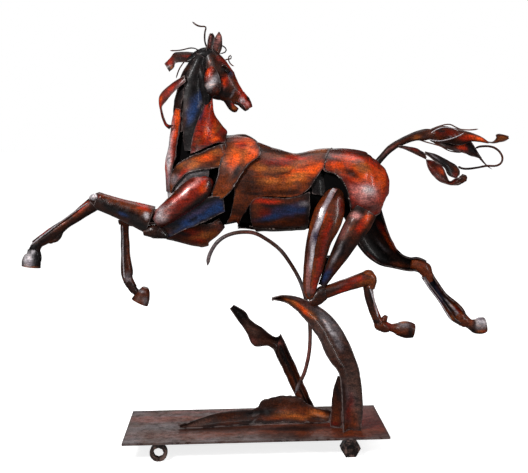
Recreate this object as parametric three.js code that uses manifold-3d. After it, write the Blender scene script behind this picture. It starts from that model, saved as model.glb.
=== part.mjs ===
// A leaping horse welded from torn and rolled sheet steel, on a flat plate with small feet.
// Millimetres, +Z up. The horse leaps toward -X; its near (left) side faces -Y.
import * as THREE from "three";
import { mergeVertices } from "three/addons/utils/BufferGeometryUtils.js";
import Module from "manifold-3d";

const wasm = await Module();
wasm.setup();

// Driving dimensions
const SHEET = 2.4;                 // plate thickness of the body
const THIN = 1.8;                  // thickness of ears, mane and tail
const CLEAR = 0.45;                // air between neighbours, filled by weld on the real work
const PLATE = { length: 353, width: 152, thick: 3 };
const RING = { across: 23, hole: 14, long: 9, inset: 47.5, sides: 16 };
const NUT = { across: 23, hole: 12, long: 15, inset: 52.5, sides: 6 };
const FOOT_EDGE = 8;                // feet set in from the long edges
const PLATE_TOP = RING.across + CLEAR + PLATE.thick;
const WIRE = 1.1;                  // radius of the drawn wires
const ROD = 2.7;                   // radius of the bent support rod
const ACROSS = new THREE.Vector3(0, 1, 0);

const STEEL = {
  rust: [0x7a3014, 0.45, 0.6],
  orange: [0xb8521a, 0.4, 0.6],
  red: [0x8a2412, 0.38, 0.6],
  dark: [0x2b2326, 0.45, 0.7],
  blue: [0x25344c, 0.35, 0.7],
  brown: [0x4a2c22, 0.45, 0.6],
  pale: [0x8a8087, 0.35, 0.7],
};

// ---------------------------------------------------------------- curves
function spline(rows, at) {
  const last = rows.length - 1;
  const t = Math.min(Math.max(at, 0), last);
  const i = Math.min(Math.floor(t), last - 1);
  const s = t - i;
  return rows[0].map((_, k) => {
    const p1 = rows[i][k];
    const p2 = rows[i + 1][k];
    const p0 = i > 0 ? rows[i - 1][k] : 2 * p1 - p2;
    const p3 = i + 2 <= last ? rows[i + 2][k] : 2 * p2 - p1;
    const cubic = (3 * p1 - p0 - 3 * p2 + p3) * s ** 3;
    return 0.5 * (2 * p1 + (p2 - p0) * s + (2 * p0 - 5 * p1 + 4 * p2 - p3) * s * s + cubic);
  });
}

function along(rows, share) {
  return spline(rows, share * (rows.length - 1));
}

// A form is a row of oval sections: x, y, z of the centre, half height and half width.
// Its point at station u and angle deg: 0 is up (or left on an upright form), 90 is the near side.
function formPoint(form, u, deg, lift) {
  const step = 0.02;
  const [x, y, z, high, wide] = spline(form, u);
  const before = new THREE.Vector3(...spline(form, Math.max(u - step, 0)));
  const after = new THREE.Vector3(...spline(form, Math.min(u + step, form.length - 1)));
  const run = after.sub(before).normalize();
  const up = new THREE.Vector3().crossVectors(run, ACROSS).normalize();
  const near = new THREE.Vector3().crossVectors(run, up);
  const turn = THREE.MathUtils.degToRad(deg);
  return new THREE.Vector3(x, y, z)
    .addScaledVector(up, (high + lift) * Math.cos(turn))
    .addScaledVector(near, (wide + lift) * Math.sin(turn));
}

// ---------------------------------------------------------------- solids
// A closed sheet between an inner and an outer grid of points.
function sheetGeometry(surface, rows, columns) {
  const points = [];
  const faces = [];
  for (const side of [0, 1]) {
    for (let i = 0; i <= rows; i += 1) {
      for (let j = 0; j <= columns; j += 1) {
        const p = surface(i / rows, j / columns, side);
        points.push(p.x, p.y, p.z);
      }
    }
  }
  const index = (side, i, j) => side * (rows + 1) * (columns + 1) + i * (columns + 1) + j;
  for (let i = 0; i < rows; i += 1) {
    for (let j = 0; j < columns; j += 1) {
      for (const side of [0, 1]) {
        const [a, b] = [index(side, i, j), index(side, i + 1, j)];
        const [c, d] = [index(side, i + 1, j + 1), index(side, i, j + 1)];
        faces.push(...(side ? [a, b, c, a, c, d] : [a, c, b, a, d, c]));
      }
    }
  }
  const rim = [];
  for (let i = 0; i < rows; i += 1) rim.push([i, 0]);
  for (let j = 0; j < columns; j += 1) rim.push([rows, j]);
  for (let i = rows; i > 0; i -= 1) rim.push([i, columns]);
  for (let j = columns; j > 0; j -= 1) rim.push([0, j]);
  rim.forEach(([i, j], k) => {
    const [m, n] = rim[(k + 1) % rim.length];
    const [a, b, c, d] = [index(0, i, j), index(0, m, n), index(1, m, n), index(1, i, j)];
    faces.push(a, b, c, a, c, d);
  });
  return facingOut(points, faces);
}

function facingOut(points, faces) {
  let volume = 0;
  const corner = (k) => new THREE.Vector3(...points.slice(3 * k, 3 * k + 3));
  for (let f = 0; f < faces.length; f += 3) {
    const [a, b, c] = [corner(faces[f]), corner(faces[f + 1]), corner(faces[f + 2])];
    volume += a.dot(b.cross(c));
  }
  const geometry = new THREE.BufferGeometry();
  geometry.setAttribute("position", new THREE.Float32BufferAttribute(points, 3));
  geometry.setIndex(volume < 0 ? faces.slice().reverse() : faces);
  return geometry;
}

// A plate on a form, ruled between its front and back edges, each a list of [u, deg].
function plate(form, front, back, lift, rows, columns, crown = 0) {
  return sheetGeometry((s, v, side) => {
    const [u0, deg0] = along(front, s);
    const [u1, deg1] = along(back, s);
    const dome = crown * Math.sin(Math.PI * s) * Math.sin(Math.PI * v);
    const level = lift + dome + side * SHEET;
    return formPoint(form, u0 + (u1 - u0) * v, deg0 + (deg1 - deg0) * v, level);
  }, rows, columns);
}

function mirrored(edge) {
  return edge.map(([u, deg]) => [u, 360 - deg]);
}

// A sheet rolled round a whole form, its seam left open a little.
function rolled(form, from, to, rows = form.length, columns = 7, lift = 0) {
  const end = form.length - 1;
  const start = [[0, from], [end, from]];
  const finish = [[0, to], [end, to]];
  return plate(form, start, finish, lift - SHEET, rows, columns);
}

// A sheet between two edges in space, bowed out by crown along its own normal.
function panel(edgeA, edgeB, rows, columns, crown = 0, thick = SHEET) {
  const flat = (s, v) => {
    const a = new THREE.Vector3(...along(edgeA, s));
    const b = new THREE.Vector3(...along(edgeB, s));
    return a.lerp(b, v);
  };
  const normal = (s, v) => {
    const e = 0.02;
    const ds = flat(Math.min(s + e, 1), v).sub(flat(Math.max(s - e, 0), v));
    const dv = flat(s, Math.min(v + e, 1)).sub(flat(s, Math.max(v - e, 0)));
    return ds.cross(dv).normalize();
  };
  return sheetGeometry((s, v, side) => {
    const offset = crown * Math.sin(Math.PI * v) + (side - 0.5) * thick;
    return flat(s, v).addScaledVector(normal(s, v), offset);
  }, rows, columns);
}

// A solid forged along a form: hoofs.
function forged(form, rows, sides) {
  const points = [];
  const faces = [];
  const end = form.length - 1;
  for (let i = 0; i <= rows; i += 1) {
    for (let j = 0; j < sides; j += 1) {
      const p = formPoint(form, (i / rows) * end, (j / sides) * 360, 0);
      points.push(p.x, p.y, p.z);
    }
  }
  for (let i = 0; i < rows; i += 1) {
    for (let j = 0; j < sides; j += 1) {
      const [a, b] = [i * sides + j, (i + 1) * sides + j];
      const [c, d] = [(i + 1) * sides + ((j + 1) % sides), i * sides + ((j + 1) % sides)];
      faces.push(a, b, c, a, c, d);
    }
  }
  for (let j = 1; j < sides - 1; j += 1) {
    faces.push(0, j, j + 1);
    faces.push(rows * sides, rows * sides + j + 1, rows * sides + j);
  }
  return facingOut(points, faces);
}

function rod(route, radius, steps, sides = 6) {
  const curve = new THREE.CatmullRomCurve3(route.map((p) => new THREE.Vector3(...p)));
  const section = new THREE.Shape();
  for (let k = 0; k < sides; k += 1) {
    const turn = (k / sides) * 2 * Math.PI;
    const corner = [radius * Math.cos(turn), radius * Math.sin(turn)];
    if (k === 0) section.moveTo(...corner);
    else section.lineTo(...corner);
  }
  section.closePath();
  return new THREE.ExtrudeGeometry(section, { steps, extrudePath: curve, bevelEnabled: false });
}

// ---------------------------------------------------------------- joins and cuts
function welded(geometry) {
  const bare = geometry.clone();
  bare.deleteAttribute("normal");
  bare.deleteAttribute("uv");
  return mergeVertices(bare, 1e-4);
}

function toSolid(geometry) {
  const merged = welded(geometry);
  return new wasm.Manifold(new wasm.Mesh({
    numProp: 3,
    vertProperties: new Float32Array(merged.attributes.position.array),
    triVerts: new Uint32Array(merged.index.array),
  }));
}

function toGeometry(solid) {
  const mesh = solid.getMesh();
  const geometry = new THREE.BufferGeometry();
  geometry.setAttribute("position", new THREE.BufferAttribute(mesh.vertProperties, 3));
  geometry.setIndex(new THREE.BufferAttribute(mesh.triVerts, 1));
  return geometry;
}

// The same shape swollen by the air that a neighbour must keep to it.
function swollen(geometry) {
  const merged = welded(geometry);
  merged.computeVertexNormals();
  const { position, normal } = merged.attributes;
  for (let k = 0; k < position.count; k += 1) {
    position.setXYZ(
      k,
      position.getX(k) + 1.5 * CLEAR * normal.getX(k),
      position.getY(k) + 1.5 * CLEAR * normal.getY(k),
      position.getZ(k) + 1.5 * CLEAR * normal.getZ(k),
    );
  }
  return merged;
}

// ---------------------------------------------------------------- the base
const pieces = new Map();
const base = new THREE.Group();
const horse = new THREE.Group();

function add(group, name, geometry, [color, roughness, metalness]) {
  const material = new THREE.MeshStandardMaterial({ color, roughness, metalness });
  const mesh = new THREE.Mesh(geometry, material);
  mesh.name = name;
  group.add(mesh);
  pieces.set(name, mesh);
  return mesh;
}

function footGeometry({ across, hole, long, sides }) {
  const outline = new THREE.Shape();
  const corner = across / 2 / Math.cos(Math.PI / sides);
  for (let k = 0; k < sides; k += 1) {
    const turn = ((k + 0.5) / sides) * 2 * Math.PI - Math.PI / 2;
    const point = [corner * Math.cos(turn), corner * Math.sin(turn)];
    if (k === 0) outline.moveTo(...point);
    else outline.lineTo(...point);
  }
  outline.closePath();
  outline.holes.push(new THREE.Path().absarc(0, 0, hole / 2, 0, 2 * Math.PI, true));
  const options = { depth: long, bevelEnabled: false, curveSegments: 4 };
  return new THREE.ExtrudeGeometry(outline, options).translate(0, 0, -long / 2).rotateX(Math.PI / 2);
}

const plateGeometry = new THREE.BoxGeometry(PLATE.length, PLATE.width, PLATE.thick);
add(base, "base_plate", plateGeometry, STEEL.pale).position.z = PLATE_TOP - PLATE.thick / 2;
for (const [name, sideX, sideY, kind] of [
  ["foot_ring_front", -1, -1, RING],
  ["foot_nut_front", 1, -1, NUT],
  ["foot_nut_back", -1, 1, NUT],
  ["foot_ring_back", 1, 1, RING],
]) {
  const foot = add(base, name, footGeometry(kind), STEEL.brown);
  foot.position.x = sideX * (PLATE.length / 2 - kind.inset);
  foot.position.y = sideY * (PLATE.width / 2 - FOOT_EDGE);
  foot.position.z = kind.across / 2;
}

const ON_PLATE = PLATE_TOP + CLEAR;
const leafFront = [
  [-104, -9, ON_PLATE + 1.2], [-62, -27, ON_PLATE + 1.2], [-20, -37, ON_PLATE + 1.2],
  [16, -38, ON_PLATE + 1.2], [50, -33, ON_PLATE + 2], [80, -22, ON_PLATE + 4], [102, -10, ON_PLATE + 6],
];
const leafCrest = [
  [-104, -6, ON_PLATE + 3], [-60, -5, ON_PLATE + 9], [-12, 0, ON_PLATE + 16],
  [16, 6, ON_PLATE + 34], [50, 10, ON_PLATE + 36], [80, 10, ON_PLATE + 21], [102, 8, ON_PLATE + 11],
];
add(base, "ground_leaf", panel(leafFront, leafCrest, 9, 3, 3), STEEL.brown);

const tuskOuter = [
  [141, -47, ON_PLATE], [144, -47, 62], [140.5, -47, 103], [133.5, -46, 128], [123, -46, 153.5],
  [107, -45, 178.5], [86, -44, 197], [61, -43, 209], [40, -42, 212.5], [24, -41, 209.5],
];
const tuskInner = [
  [117, -54, ON_PLATE], [115.5, -54, 66], [112, -53, 106], [99, -52, 126], [88, -51, 150],
  [75, -49, 171], [63, -48, 186], [51, -46, 197.5], [38, -44, 204.5], [23.5, -42, 207.5],
];
add(base, "tusk_support", panel(tuskOuter, tuskInner, 11, 4, -9), STEEL.brown);

const gussetLeft = [[102, -26, ON_PLATE], [104, -28, 56], [106, -30, 78], [112, -33, 100]];
const gussetRight = [[117, -33, ON_PLATE], [118, -34, 58], [117, -35, 80], [116, -36, 99]];
add(base, "tusk_gusset", panel(gussetLeft, gussetRight, 4, 1), STEEL.dark);

const postLeft = [[73, 15, ON_PLATE], [28, 15, 124]];
const postRight = [[91, 15, ON_PLATE], [40, 15, 140]];
add(base, "channel_post", panel(postLeft, postRight, 2, 6, 8), STEEL.dark);

const bladeLow = [[28, 16, 125], [12, 15, 130], [-3, 14, 134], [-14, 14, 150], [-30, 14, 182]];
const bladeHigh = [[34.5, 16, 143], [22, 15, 147], [8, 14, 160], [-8, 14, 176], [-23, 14, 189]];
add(base, "post_blade", panel(bladeLow, bladeHigh, 6, 3, 6), STEEL.dark);

const rodRoute = [
  [-61, 250], [-58, 264], [-50, 278], [-40, 287], [-27, 292.5], [-12, 294.5], [4, 292.5], [21, 283],
  [38, 269], [51, 251], [64, 227], [72, 200], [77, 165], [76, 130], [70, 102], [63, 86], [56, 70],
].map(([x, z]) => [x, -8, z]);
add(base, "support_rod", rod(rodRoute, ROD, 24), STEEL.brown);

// ---------------------------------------------------------------- the trunk
const TRUNK = [
  [-108, 0, 350, 20, 16], [-92, 0, 350, 42, 28], [-60, 0, 350, 57, 36], [-20, 0, 358.5, 60.5, 42],
  [20, 0, 351.5, 57, 45], [60, 0, 347.5, 52, 44], [100, 0, 352, 53, 42], [135, 0, 354, 50, 46],
  [160, 0, 351, 43.5, 43], [175, 0, 347, 31.5, 33], [181.5, 0, 342, 18.5, 20], [185, 0, 339, 6, 6],
];
const blade = {
  front: [[2.78, 2], [2.85, 28], [2.77, 47], [2.62, 66], [2.45, 79], [2.24, 89], [2.17, 96]],
  back: [[3.35, 2], [3.52, 34], [3.52, 45], [3.3, 61], [3.05, 82], [2.78, 95], [2.42, 102]],
};
const barrel = {
  front: [[3, 1], [3, 28], [2.97, 55], [2.93, 75], [2.92, 90], [2.88, 103], [2.6, 125], [2.36, 141]],
  back: [
    [6.28, 1], [6.1, 34], [5.88, 58], [5.35, 79], [4.95, 93], [3.75, 98], [3.42, 128], [3.24, 148],
  ],
};
const belly = {
  front: [[3.64, 110], [3.85, 101], [4.3, 99.5], [4.8, 97.5], [5.3, 94.5]],
  back: [[3.95, 179], [4.2, 179], [4.5, 179], [4.8, 179], [5.2, 179]],
};
const rump = {
  front: [[6.34, 1], [6.16, 34], [6.02, 60], [6.34, 70], [6.6, 88], [6.72, 110], [6.8, 130]],
  back: [[10.9, 3], [10.9, 30], [10.75, 60], [10.4, 80], [9.7, 105], [9, 120], [8.5, 133]],
};
// The far side is plainer: its plates run on, without the gaps and the strap of the near side.
const farBarrel = {
  front: [[3, 359], [2.95, 310], [2.92, 264]],
  back: [[6.28, 359], [6.28, 310], [6.28, 264]],
};
const farBelly = {
  front: [[2.95, 261], [4.5, 261], [6.4, 261]],
  back: [[3.25, 181], [4.5, 181], [6, 181]],
};
const farRump = {
  front: [[6.34, 359], [6.34, 310], [6.34, 280], [6.5, 262], [6.7, 245], [6.8, 230]],
  back: mirrored(rump.back),
};
for (const [side, edges] of [
  ["near", { blade, barrel, belly, rump }],
  ["far", {
    blade: { front: mirrored(blade.front), back: mirrored(blade.back) },
    barrel: farBarrel,
    belly: farBelly,
    rump: farRump,
  }],
]) {
  const cover = (name, lift, rows, columns) => (
    plate(TRUNK, edges[name].front, edges[name].back, lift, rows, columns)
  );
  add(horse, `shoulder_blade_${side}`, cover("blade", 4.5, 8, 3), STEEL.orange);
  add(horse, `barrel_${side}`, cover("barrel", -SHEET, 11, 5), STEEL.rust);
  add(horse, `belly_${side}`, cover("belly", -SHEET, 5, 4), STEEL.brown);
  add(horse, `rump_${side}`, cover("rump", -SHEET, 8, 5), STEEL.red);
}
const KEEL = [
  [-117, 0, 296, 10, 14], [-98, 0, 298, 18, 22], [-70, 0, 301, 27, 27],
  [-55, 0, 305, 18.5, 24], [-42, 0, 312, 12, 17],
];
const keelPlate = plate(KEEL, [[0, 78], [4, 78]], [[0, 282], [4, 282]], -SHEET, 6, 6);
add(horse, "chest_keel", keelPlate, STEEL.rust);

// ---------------------------------------------------------------- the neck
const NECK = [
  [-58, 0, 345, 54, 36], [-62, 0, 372, 50.5, 37], [-66, -1, 400, 46.5, 33], [-72, -3, 430, 34, 28],
  [-78.5, -5, 460, 24, 23], [-77, -7, 490, 18.5, 18], [-69, -8, 515, 14, 15], [-61, -8, 533, 10, 10],
];
const throatFront = [[2.27, 80], [2.76, 79], [3.26, 85], [3.55, 96], [3.96, 112], [4.45, 130]];
const throatBack = [[2.4, 121], [2.75, 145], [3.06, 172], [3.5, 180], [3.95, 178], [4.3, 172]];
const throatPlate = plate(NECK, throatFront, throatBack, 2.6, 7, 4);
add(horse, "neck_throat_near", throatPlate, STEEL.red);
const panelFront = [
  [2.38, 61], [2.8, 59], [3.24, 59], [3.7, 61], [4.1, 63], [4.84, 66], [5.74, 62], [6.85, 58],
];
const panelBack = [
  [2.3, 76], [2.76, 78], [3.26, 84], [3.6, 96], [4, 112], [4.6, 124], [5.5, 120], [6.75, 116],
];
add(horse, "neck_panel_near", plate(NECK, panelFront, panelBack, -SHEET, 9, 3), STEEL.dark);
const crestFront = [[3.2, -22], [4, -22], [5, -22], [6.8, -22]];
const crestBack = [[3.2, 56], [4.1, 60], [4.9, 63], [6.85, 54]];
add(horse, "neck_crest", plate(NECK, crestFront, crestBack, -SHEET, 7, 4), STEEL.dark);
const neckFarFront = [[1, 322], [2, 326], [3, 330], [4, 334], [5, 334], [6.8, 334]];
const neckFarBack = [[1.05, 256], [2, 250], [3, 188], [4, 186], [5, 226], [6.6, 240]];
add(horse, "neck_far", plate(NECK, neckFarFront, neckFarBack, -SHEET, 7, 5), STEEL.dark);
const stripFront = [[4.12, 44], [3.8, 28], [3.3, 6], [2.6, -14], [1.9, -26], [1.2, -32], [0.5, -24]];
const stripBack = [[4.08, 60], [3.7, 57], [3.29, 51], [2.63, 47], [2, 43], [1.46, 38], [0.5, 36]];
add(horse, "breast_strip", plate(NECK, stripFront, stripBack, 0.8, 8, 4), STEEL.red);
const collarHigh = [
  [2.17, 119], [2.15, 97], [2.06, 79], [1.93, 66], [1.71, 51], [1.31, 40], [0.85, 35],
];
const collarLow = [[1.42, 107], [1.42, 93], [1.4, 79], [1.36, 67], [1.12, 55], [0.81, 44], [0.5, 37]];
add(horse, "collar_near", plate(NECK, collarHigh, collarLow, 4.4, 9, 3), STEEL.orange);

// ---------------------------------------------------------------- the head
const HEAD = [
  [-55, -8, 534, 10, 9], [-46, -8, 515, 17.5, 14], [-39, -8, 498, 22.2, 16], [-28, -8, 485.5, 19, 13],
  [-14.5, -8, 474.5, 13, 10], [-4, -8, 464.5, 10, 9], [0, -8, 456, 7, 7],
];
const faceNear = [[0.05, 84], [1.2, 112], [2.2, 118], [3.2, 112], [4, 86], [5.4, 82]];
const faceFar = faceNear.map(([u, deg]) => [u, -deg]);
add(horse, "face_plate", plate(HEAD, faceFar, faceNear, -SHEET, 8, 6), STEEL.red);
const cheekFront = [[0.55, 95], [1.2, 88], [2, 89], [2.65, 108], [2.8, 140]];
const cheekBack = [[0.75, 122], [1.29, 142], [1.97, 158], [2.4, 168], [2.62, 166]];
add(horse, "cheek_near", plate(HEAD, cheekFront, cheekBack, 0.8, 6, 4, 5), STEEL.pale);
const cheekFar = plate(HEAD, mirrored(cheekFront), mirrored(cheekBack), 0.8, 6, 4, 5);
add(horse, "cheek_far", cheekFar, STEEL.dark);
const muzzleNear = [[3.75, 100], [4.5, 92], [5.7, 88]];
add(horse, "muzzle", plate(HEAD, muzzleNear, mirrored(muzzleNear), -SHEET, 4, 6), STEEL.brown);
const JAW = [
  [-50, -8, 477.5, 4, 8], [-42, -8, 477.5, 4, 8], [-34, -8, 476, 4, 7.5], [-28, -8, 470.5, 5.5, 7],
  [-23, -8, 465, 6.5, 6.5], [-18.5, -8, 461, 5, 5.5],
];
add(horse, "lower_jaw", rolled(JAW, 75, 285, 6, 5, 1), STEEL.rust);
const earNearLeft = [[-56, -15, 535.5], [-55, -18, 546], [-51, -19, 555]];
const earNearRight = [[-48.5, -12, 536.5], [-45.5, -14, 546], [-48, -18, 555.5]];
add(horse, "ear_near", panel(earNearLeft, earNearRight, 4, 2, 2.5, THIN), STEEL.rust);
const earFarLeft = [[-50, -4, 538], [-45, -2, 546], [-40, 0, 558]];
const earFarRight = [[-39, -3, 538], [-36.5, -1, 547], [-37.5, 0, 558]];
add(horse, "ear_far", panel(earFarLeft, earFarRight, 4, 2, -2.5, THIN), STEEL.rust);

// ---------------------------------------------------------------- the mane
const maneHigh = [
  [-66, -6, 534], [-78, -4, 534.5], [-90, -3, 536], [-99, -3, 536], [-106, -4, 531],
  [-113, -5, 520],
];
const maneLow = [
  [-73, -10, 523.5], [-81, -11, 522.5], [-90, -12, 522], [-97, -12, 521], [-101, -12, 517],
  [-106, -12, 510],
];
add(horse, "mane_top_strip", panel(maneHigh, maneLow, 8, 2, 1.5, THIN), STEEL.dark);
const sideOuter = [
  [-85.5, -24, 505], [-97, -22, 500], [-108, -18, 493], [-118, -15, 483], [-120, -14, 473],
  [-118, -14, 461], [-115, -15, 447], [-110, -17, 437], [-105, -19, 433],
];
const sideInner = [
  [-88, -27, 494], [-95, -26, 487], [-104, -24, 479], [-111, -21, 471], [-115, -19, 464],
  [-114, -19, 458], [-110, -20, 449], [-104, -22, 443.5], [-99.5, -23, 441],
];
add(horse, "mane_side_ribbon", panel(sideOuter, sideInner, 11, 2, 1, THIN), STEEL.red);
const forelock = [
  [-55, -9, 539.5], [-58, -10, 548], [-58, -11, 559], [-56.5, -12, 567], [-64, -13, 568],
  [-69, -13, 570], [-74, -12, 574],
];
add(horse, "forelock_wire", rod(forelock, WIRE, 14), STEEL.brown);

// ---------------------------------------------------------------- the tail
const STEM = [
  [176, 0, 391, 4.5, 5], [189, 1, 403, 5, 5], [203, 2, 411.5, 5, 5], [222, 3, 419, 6, 5],
  [238, 4, 421.5, 8, 6],
];
add(horse, "tail_stem", rolled(STEM, -60, 260, 6, 7), STEEL.rust);
const upperHigh = [
  [242, 3, 428], [262, 2, 431], [280, 2, 427.5], [294, 3, 423], [305, 4, 413], [313, 5, 391],
];
const upperLow = [
  [242, 6, 412.5], [258, 9, 406], [275, 10, 399], [290, 10, 394.5], [299, 9, 391], [312, 6, 388],
];
add(horse, "tail_upper_leaf", panel(upperHigh, upperLow, 7, 3, -4, THIN), STEEL.rust);
const curlHigh = [
  [302, 7, 424], [309, 8, 420.5], [318, 8, 413], [328, 8, 410], [338, 7, 414], [344, 6, 419],
  [353, 4, 418.5],
];
const curlLow = [
  [305, 10, 416.5], [310, 10, 411], [318, 9, 409.5], [328, 8, 407.5], [338, 9, 408.5],
  [347, 10, 409.5], [354, 9, 414],
];
add(horse, "tail_curl", panel(curlHigh, curlLow, 10, 2, 1, THIN), STEEL.orange);
const lowerHigh = [
  [205, -5, 406], [216, -5, 405], [229, -5, 404], [243, -5, 399], [259, -5, 391], [273, -6, 384],
  [282, -7, 376], [284, -8, 368],
];
const lowerLow = [
  [204, -5, 403], [216, -5, 400], [228, -6, 394.5], [239, -7, 391], [254, -8, 383], [263, -8, 373],
  [270, -8, 364], [280, -8, 361],
];
add(horse, "tail_lower_strip", panel(lowerHigh, lowerLow, 11, 2, 1.5, THIN), STEEL.dark);
const leafInner = [
  [238, -12, 389], [246, -12, 386], [256, -12, 381], [262, -13, 374], [267, -13, 364], [273, -13, 357],
  [281, -12, 359], [285, -11, 368],
];
const leafOuter = [
  [236, -11, 387], [238, -12, 378], [243, -14, 367], [252, -15, 359], [261, -15, 354.5], [272, -14, 351.5],
  [285, -12, 355], [293, -10, 367],
];
add(horse, "tail_lower_leaf", panel(leafInner, leafOuter, 8, 3, 3, THIN), STEEL.rust);
const loop = [
  [285.5, -2, 376.5], [292, -2, 374.5], [304, -2, 376], [320, -2, 378], [334, -2, 379], [341, -2, 386],
  [338, -2, 395], [328, -2, 402], [316, -2, 404], [304, -2, 403],
];
add(horse, "tail_loop_wire", rod(loop, WIRE, 18), STEEL.brown);

// ---------------------------------------------------------------- the forelegs
const LEGS = {
  upper_arm_near: [
    [-127, -35, 311, 17, 12], [-112, -36, 321, 19.5, 14], [-88, -37, 337, 19, 15],
    [-68, -37, 352, 17, 13], [-61, -36, 358, 13, 10],
  ],
  forearm_near: [
    [-205, -34, 343, 12, 9], [-180, -34, 333.5, 13, 11], [-155, -34, 324, 16, 12],
    [-134, -34, 315.5, 19, 13],
  ],
  cannon_near: [
    [-287, -33, 285, 6.5, 6], [-266, -33, 297.5, 8.5, 6.5], [-247, -33, 311, 6.5, 6],
    [-228, -33, 323.5, 7.5, 7], [-208, -33, 338, 9.5, 8],
  ],
  upper_arm_far: [[-116, 30, 318, 15, 11], [-96, 30, 331, 17, 12], [-76, 29, 344, 15, 11]],
  forearm_far: [
    [-184, 29, 313, 9, 8], [-172, 29, 315, 12, 10], [-150, 29, 313, 14, 12],
    [-128, 29, 310, 15, 12],
  ],
  cannon_far: [
    [-166, 28, 215, 6, 6], [-173, 28, 229, 7, 7], [-174, 28, 240, 8.5, 7.5],
    [-175, 28, 262, 6.5, 6.5], [-175, 28, 285, 5.5, 6], [-175, 28, 301, 6, 6.5],
  ],
  thigh_front_near: [
    [76, -41, 207.5, 6, 7], [75, -42, 222, 9.5, 11], [80, -42, 250, 13.5, 12],
    [88, -41, 285, 16.5, 13], [98, -39, 316, 18.5, 13], [107, -34, 337, 16, 10],
    [113, -30, 349, 10, 8],
  ],
  thigh_rear_near: [
    [94, -40, 233, 6, 8], [102, -40, 246, 9.5, 11], [117, -39, 271, 14.5, 13],
    [133, -38, 299, 16, 13], [141, -37, 311.5, 15, 12],
  ],
  gaskin_near: [
    [89, -39, 214, 9, 8], [99, -39, 217.5, 9.5, 9], [120, -38, 225, 10, 10],
    [145, -37, 232.5, 11.5, 10], [160, -37, 235, 11, 9],
  ],
  cannon_hind_near: [
    [168, -36, 166, 7, 6.5], [165, -36, 180, 7, 7], [160.5, -36, 198, 7, 7],
    [156.5, -36, 214, 8, 8], [155, -36, 224, 8.5, 8],
  ],
  thigh_far: [
    [143, 28, 312, 25, 12], [166, 32, 280, 26, 15], [186, 34, 257.5, 19.5, 13],
    [205, 34, 245.5, 12, 10], [221, 34, 240.5, 10, 9], [232, 34, 240, 10.5, 9],
    [242, 34, 236, 10, 9],
  ],
  cannon_hind_far: [
    [246, 34, 225.5, 8.5, 8], [254.5, 34, 212, 8, 7.5], [268.5, 34, 193, 8, 8],
    [281, 34, 178, 11, 9], [290, 34, 167, 12, 9.5], [297.5, 34, 158, 8.5, 8],
  ],
};
const HOOVES = {
  hoof_fore_near: [
    [-293, -33, 256, 12.5, 9.5], [-292, -33, 263, 12.5, 10], [-289, -33, 271, 10.5, 8.5],
    [-289, -33, 279.5, 7.5, 6.5],
  ],
  hoof_fore_far: [
    [-157.5, 28, 193.5, 13.3, 11], [-156, 28, 199, 13, 11], [-157, 28, 206, 11, 9.5],
    [-161, 28, 211, 7.5, 7.5],
  ],
  hoof_hind_near: [
    [175.5, -36, 165, 5.5, 5.5], [186, -36, 162.5, 7, 7], [196, -36, 161, 10.5, 10],
    [206, -36, 160, 11.5, 11.5], [212, -36, 157.5, 9.5, 11],
  ],
  hoof_hind_far: [
    [302.5, 34, 154, 6, 6], [311, 34, 153, 9, 8], [320, 34, 151.5, 12, 11],
    [326, 34, 149.5, 12, 11.5], [331, 34, 147, 9.5, 10],
  ],
};
const WRAP = {
  upper_arm_near: [-95, 250, STEEL.red],
  forearm_near: [-100, 245, STEEL.red],
  cannon_near: [-90, 220, STEEL.rust],
  upper_arm_far: [95, 440, STEEL.brown],
  forearm_far: [105, 440, STEEL.brown],
  cannon_far: [-80, 260, STEEL.brown],
  thigh_front_near: [-60, 280, STEEL.red],
  thigh_rear_near: [-35, 205, STEEL.rust],
  gaskin_near: [-80, 262, STEEL.brown],
  cannon_hind_near: [-60, 280, STEEL.brown],
  thigh_far: [150, 385, STEEL.dark],
  cannon_hind_far: [120, 400, STEEL.blue],
};
for (const [name, form] of Object.entries(LEGS)) {
  const [from, to, steel] = WRAP[name];
  add(horse, name, rolled(form, from, to), steel);
}
for (const [name, form] of Object.entries(HOOVES)) {
  add(horse, name, forged(form, 5, 10), STEEL.brown);
}
const guardHigh = [
  [-124, -35, 300], [-98, -38, 312], [-76, -40, 325], [-60, -41, 336], [-43, -40, 340],
];
const guardLow = [[-122, -27, 291], [-97, -31, 297], [-76, -34, 305], [-57, -36, 314], [-38, -38, 326]];
add(horse, "elbow_guard", panel(guardHigh, guardLow, 6, 2, 2), STEEL.blue);

// Pieces that are cut back where a neighbour passes.
const CUTS = {
  elbow_guard: ["upper_arm_near", "chest_keel"],
  forearm_near: ["upper_arm_near"],
  upper_arm_near: ["shoulder_blade_near"],
  thigh_front_near: ["tusk_support"],
  thigh_rear_near: ["thigh_front_near", "rump_near"],
  thigh_far: ["rump_far"],
  lower_jaw: ["cheek_near", "cheek_far", "muzzle"],
  cannon_near: ["forearm_near"],
  cannon_hind_near: ["gaskin_near"],
  mane_top_strip: ["neck_crest"],
};
for (const [name, neighbours] of Object.entries(CUTS)) {
  const mesh = pieces.get(name);
  let solid = toSolid(mesh.geometry);
  for (const neighbour of neighbours) {
    solid = solid.subtract(toSolid(swollen(pieces.get(neighbour).geometry)));
  }
  const bodies = solid.decompose();
  bodies.sort((a, b) => b.volume() - a.volume());
  mesh.geometry = toGeometry(bodies[0]);
}

// The origin is the middle of the underside of the whole work.
const sculpture = new THREE.Group();
sculpture.add(base, horse);
const box = new THREE.Box3().setFromObject(sculpture);
sculpture.position.set(-(box.min.x + box.max.x) / 2, -(box.min.y + box.max.y) / 2, -box.min.z);

export default sculpture;
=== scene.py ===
import math

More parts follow.
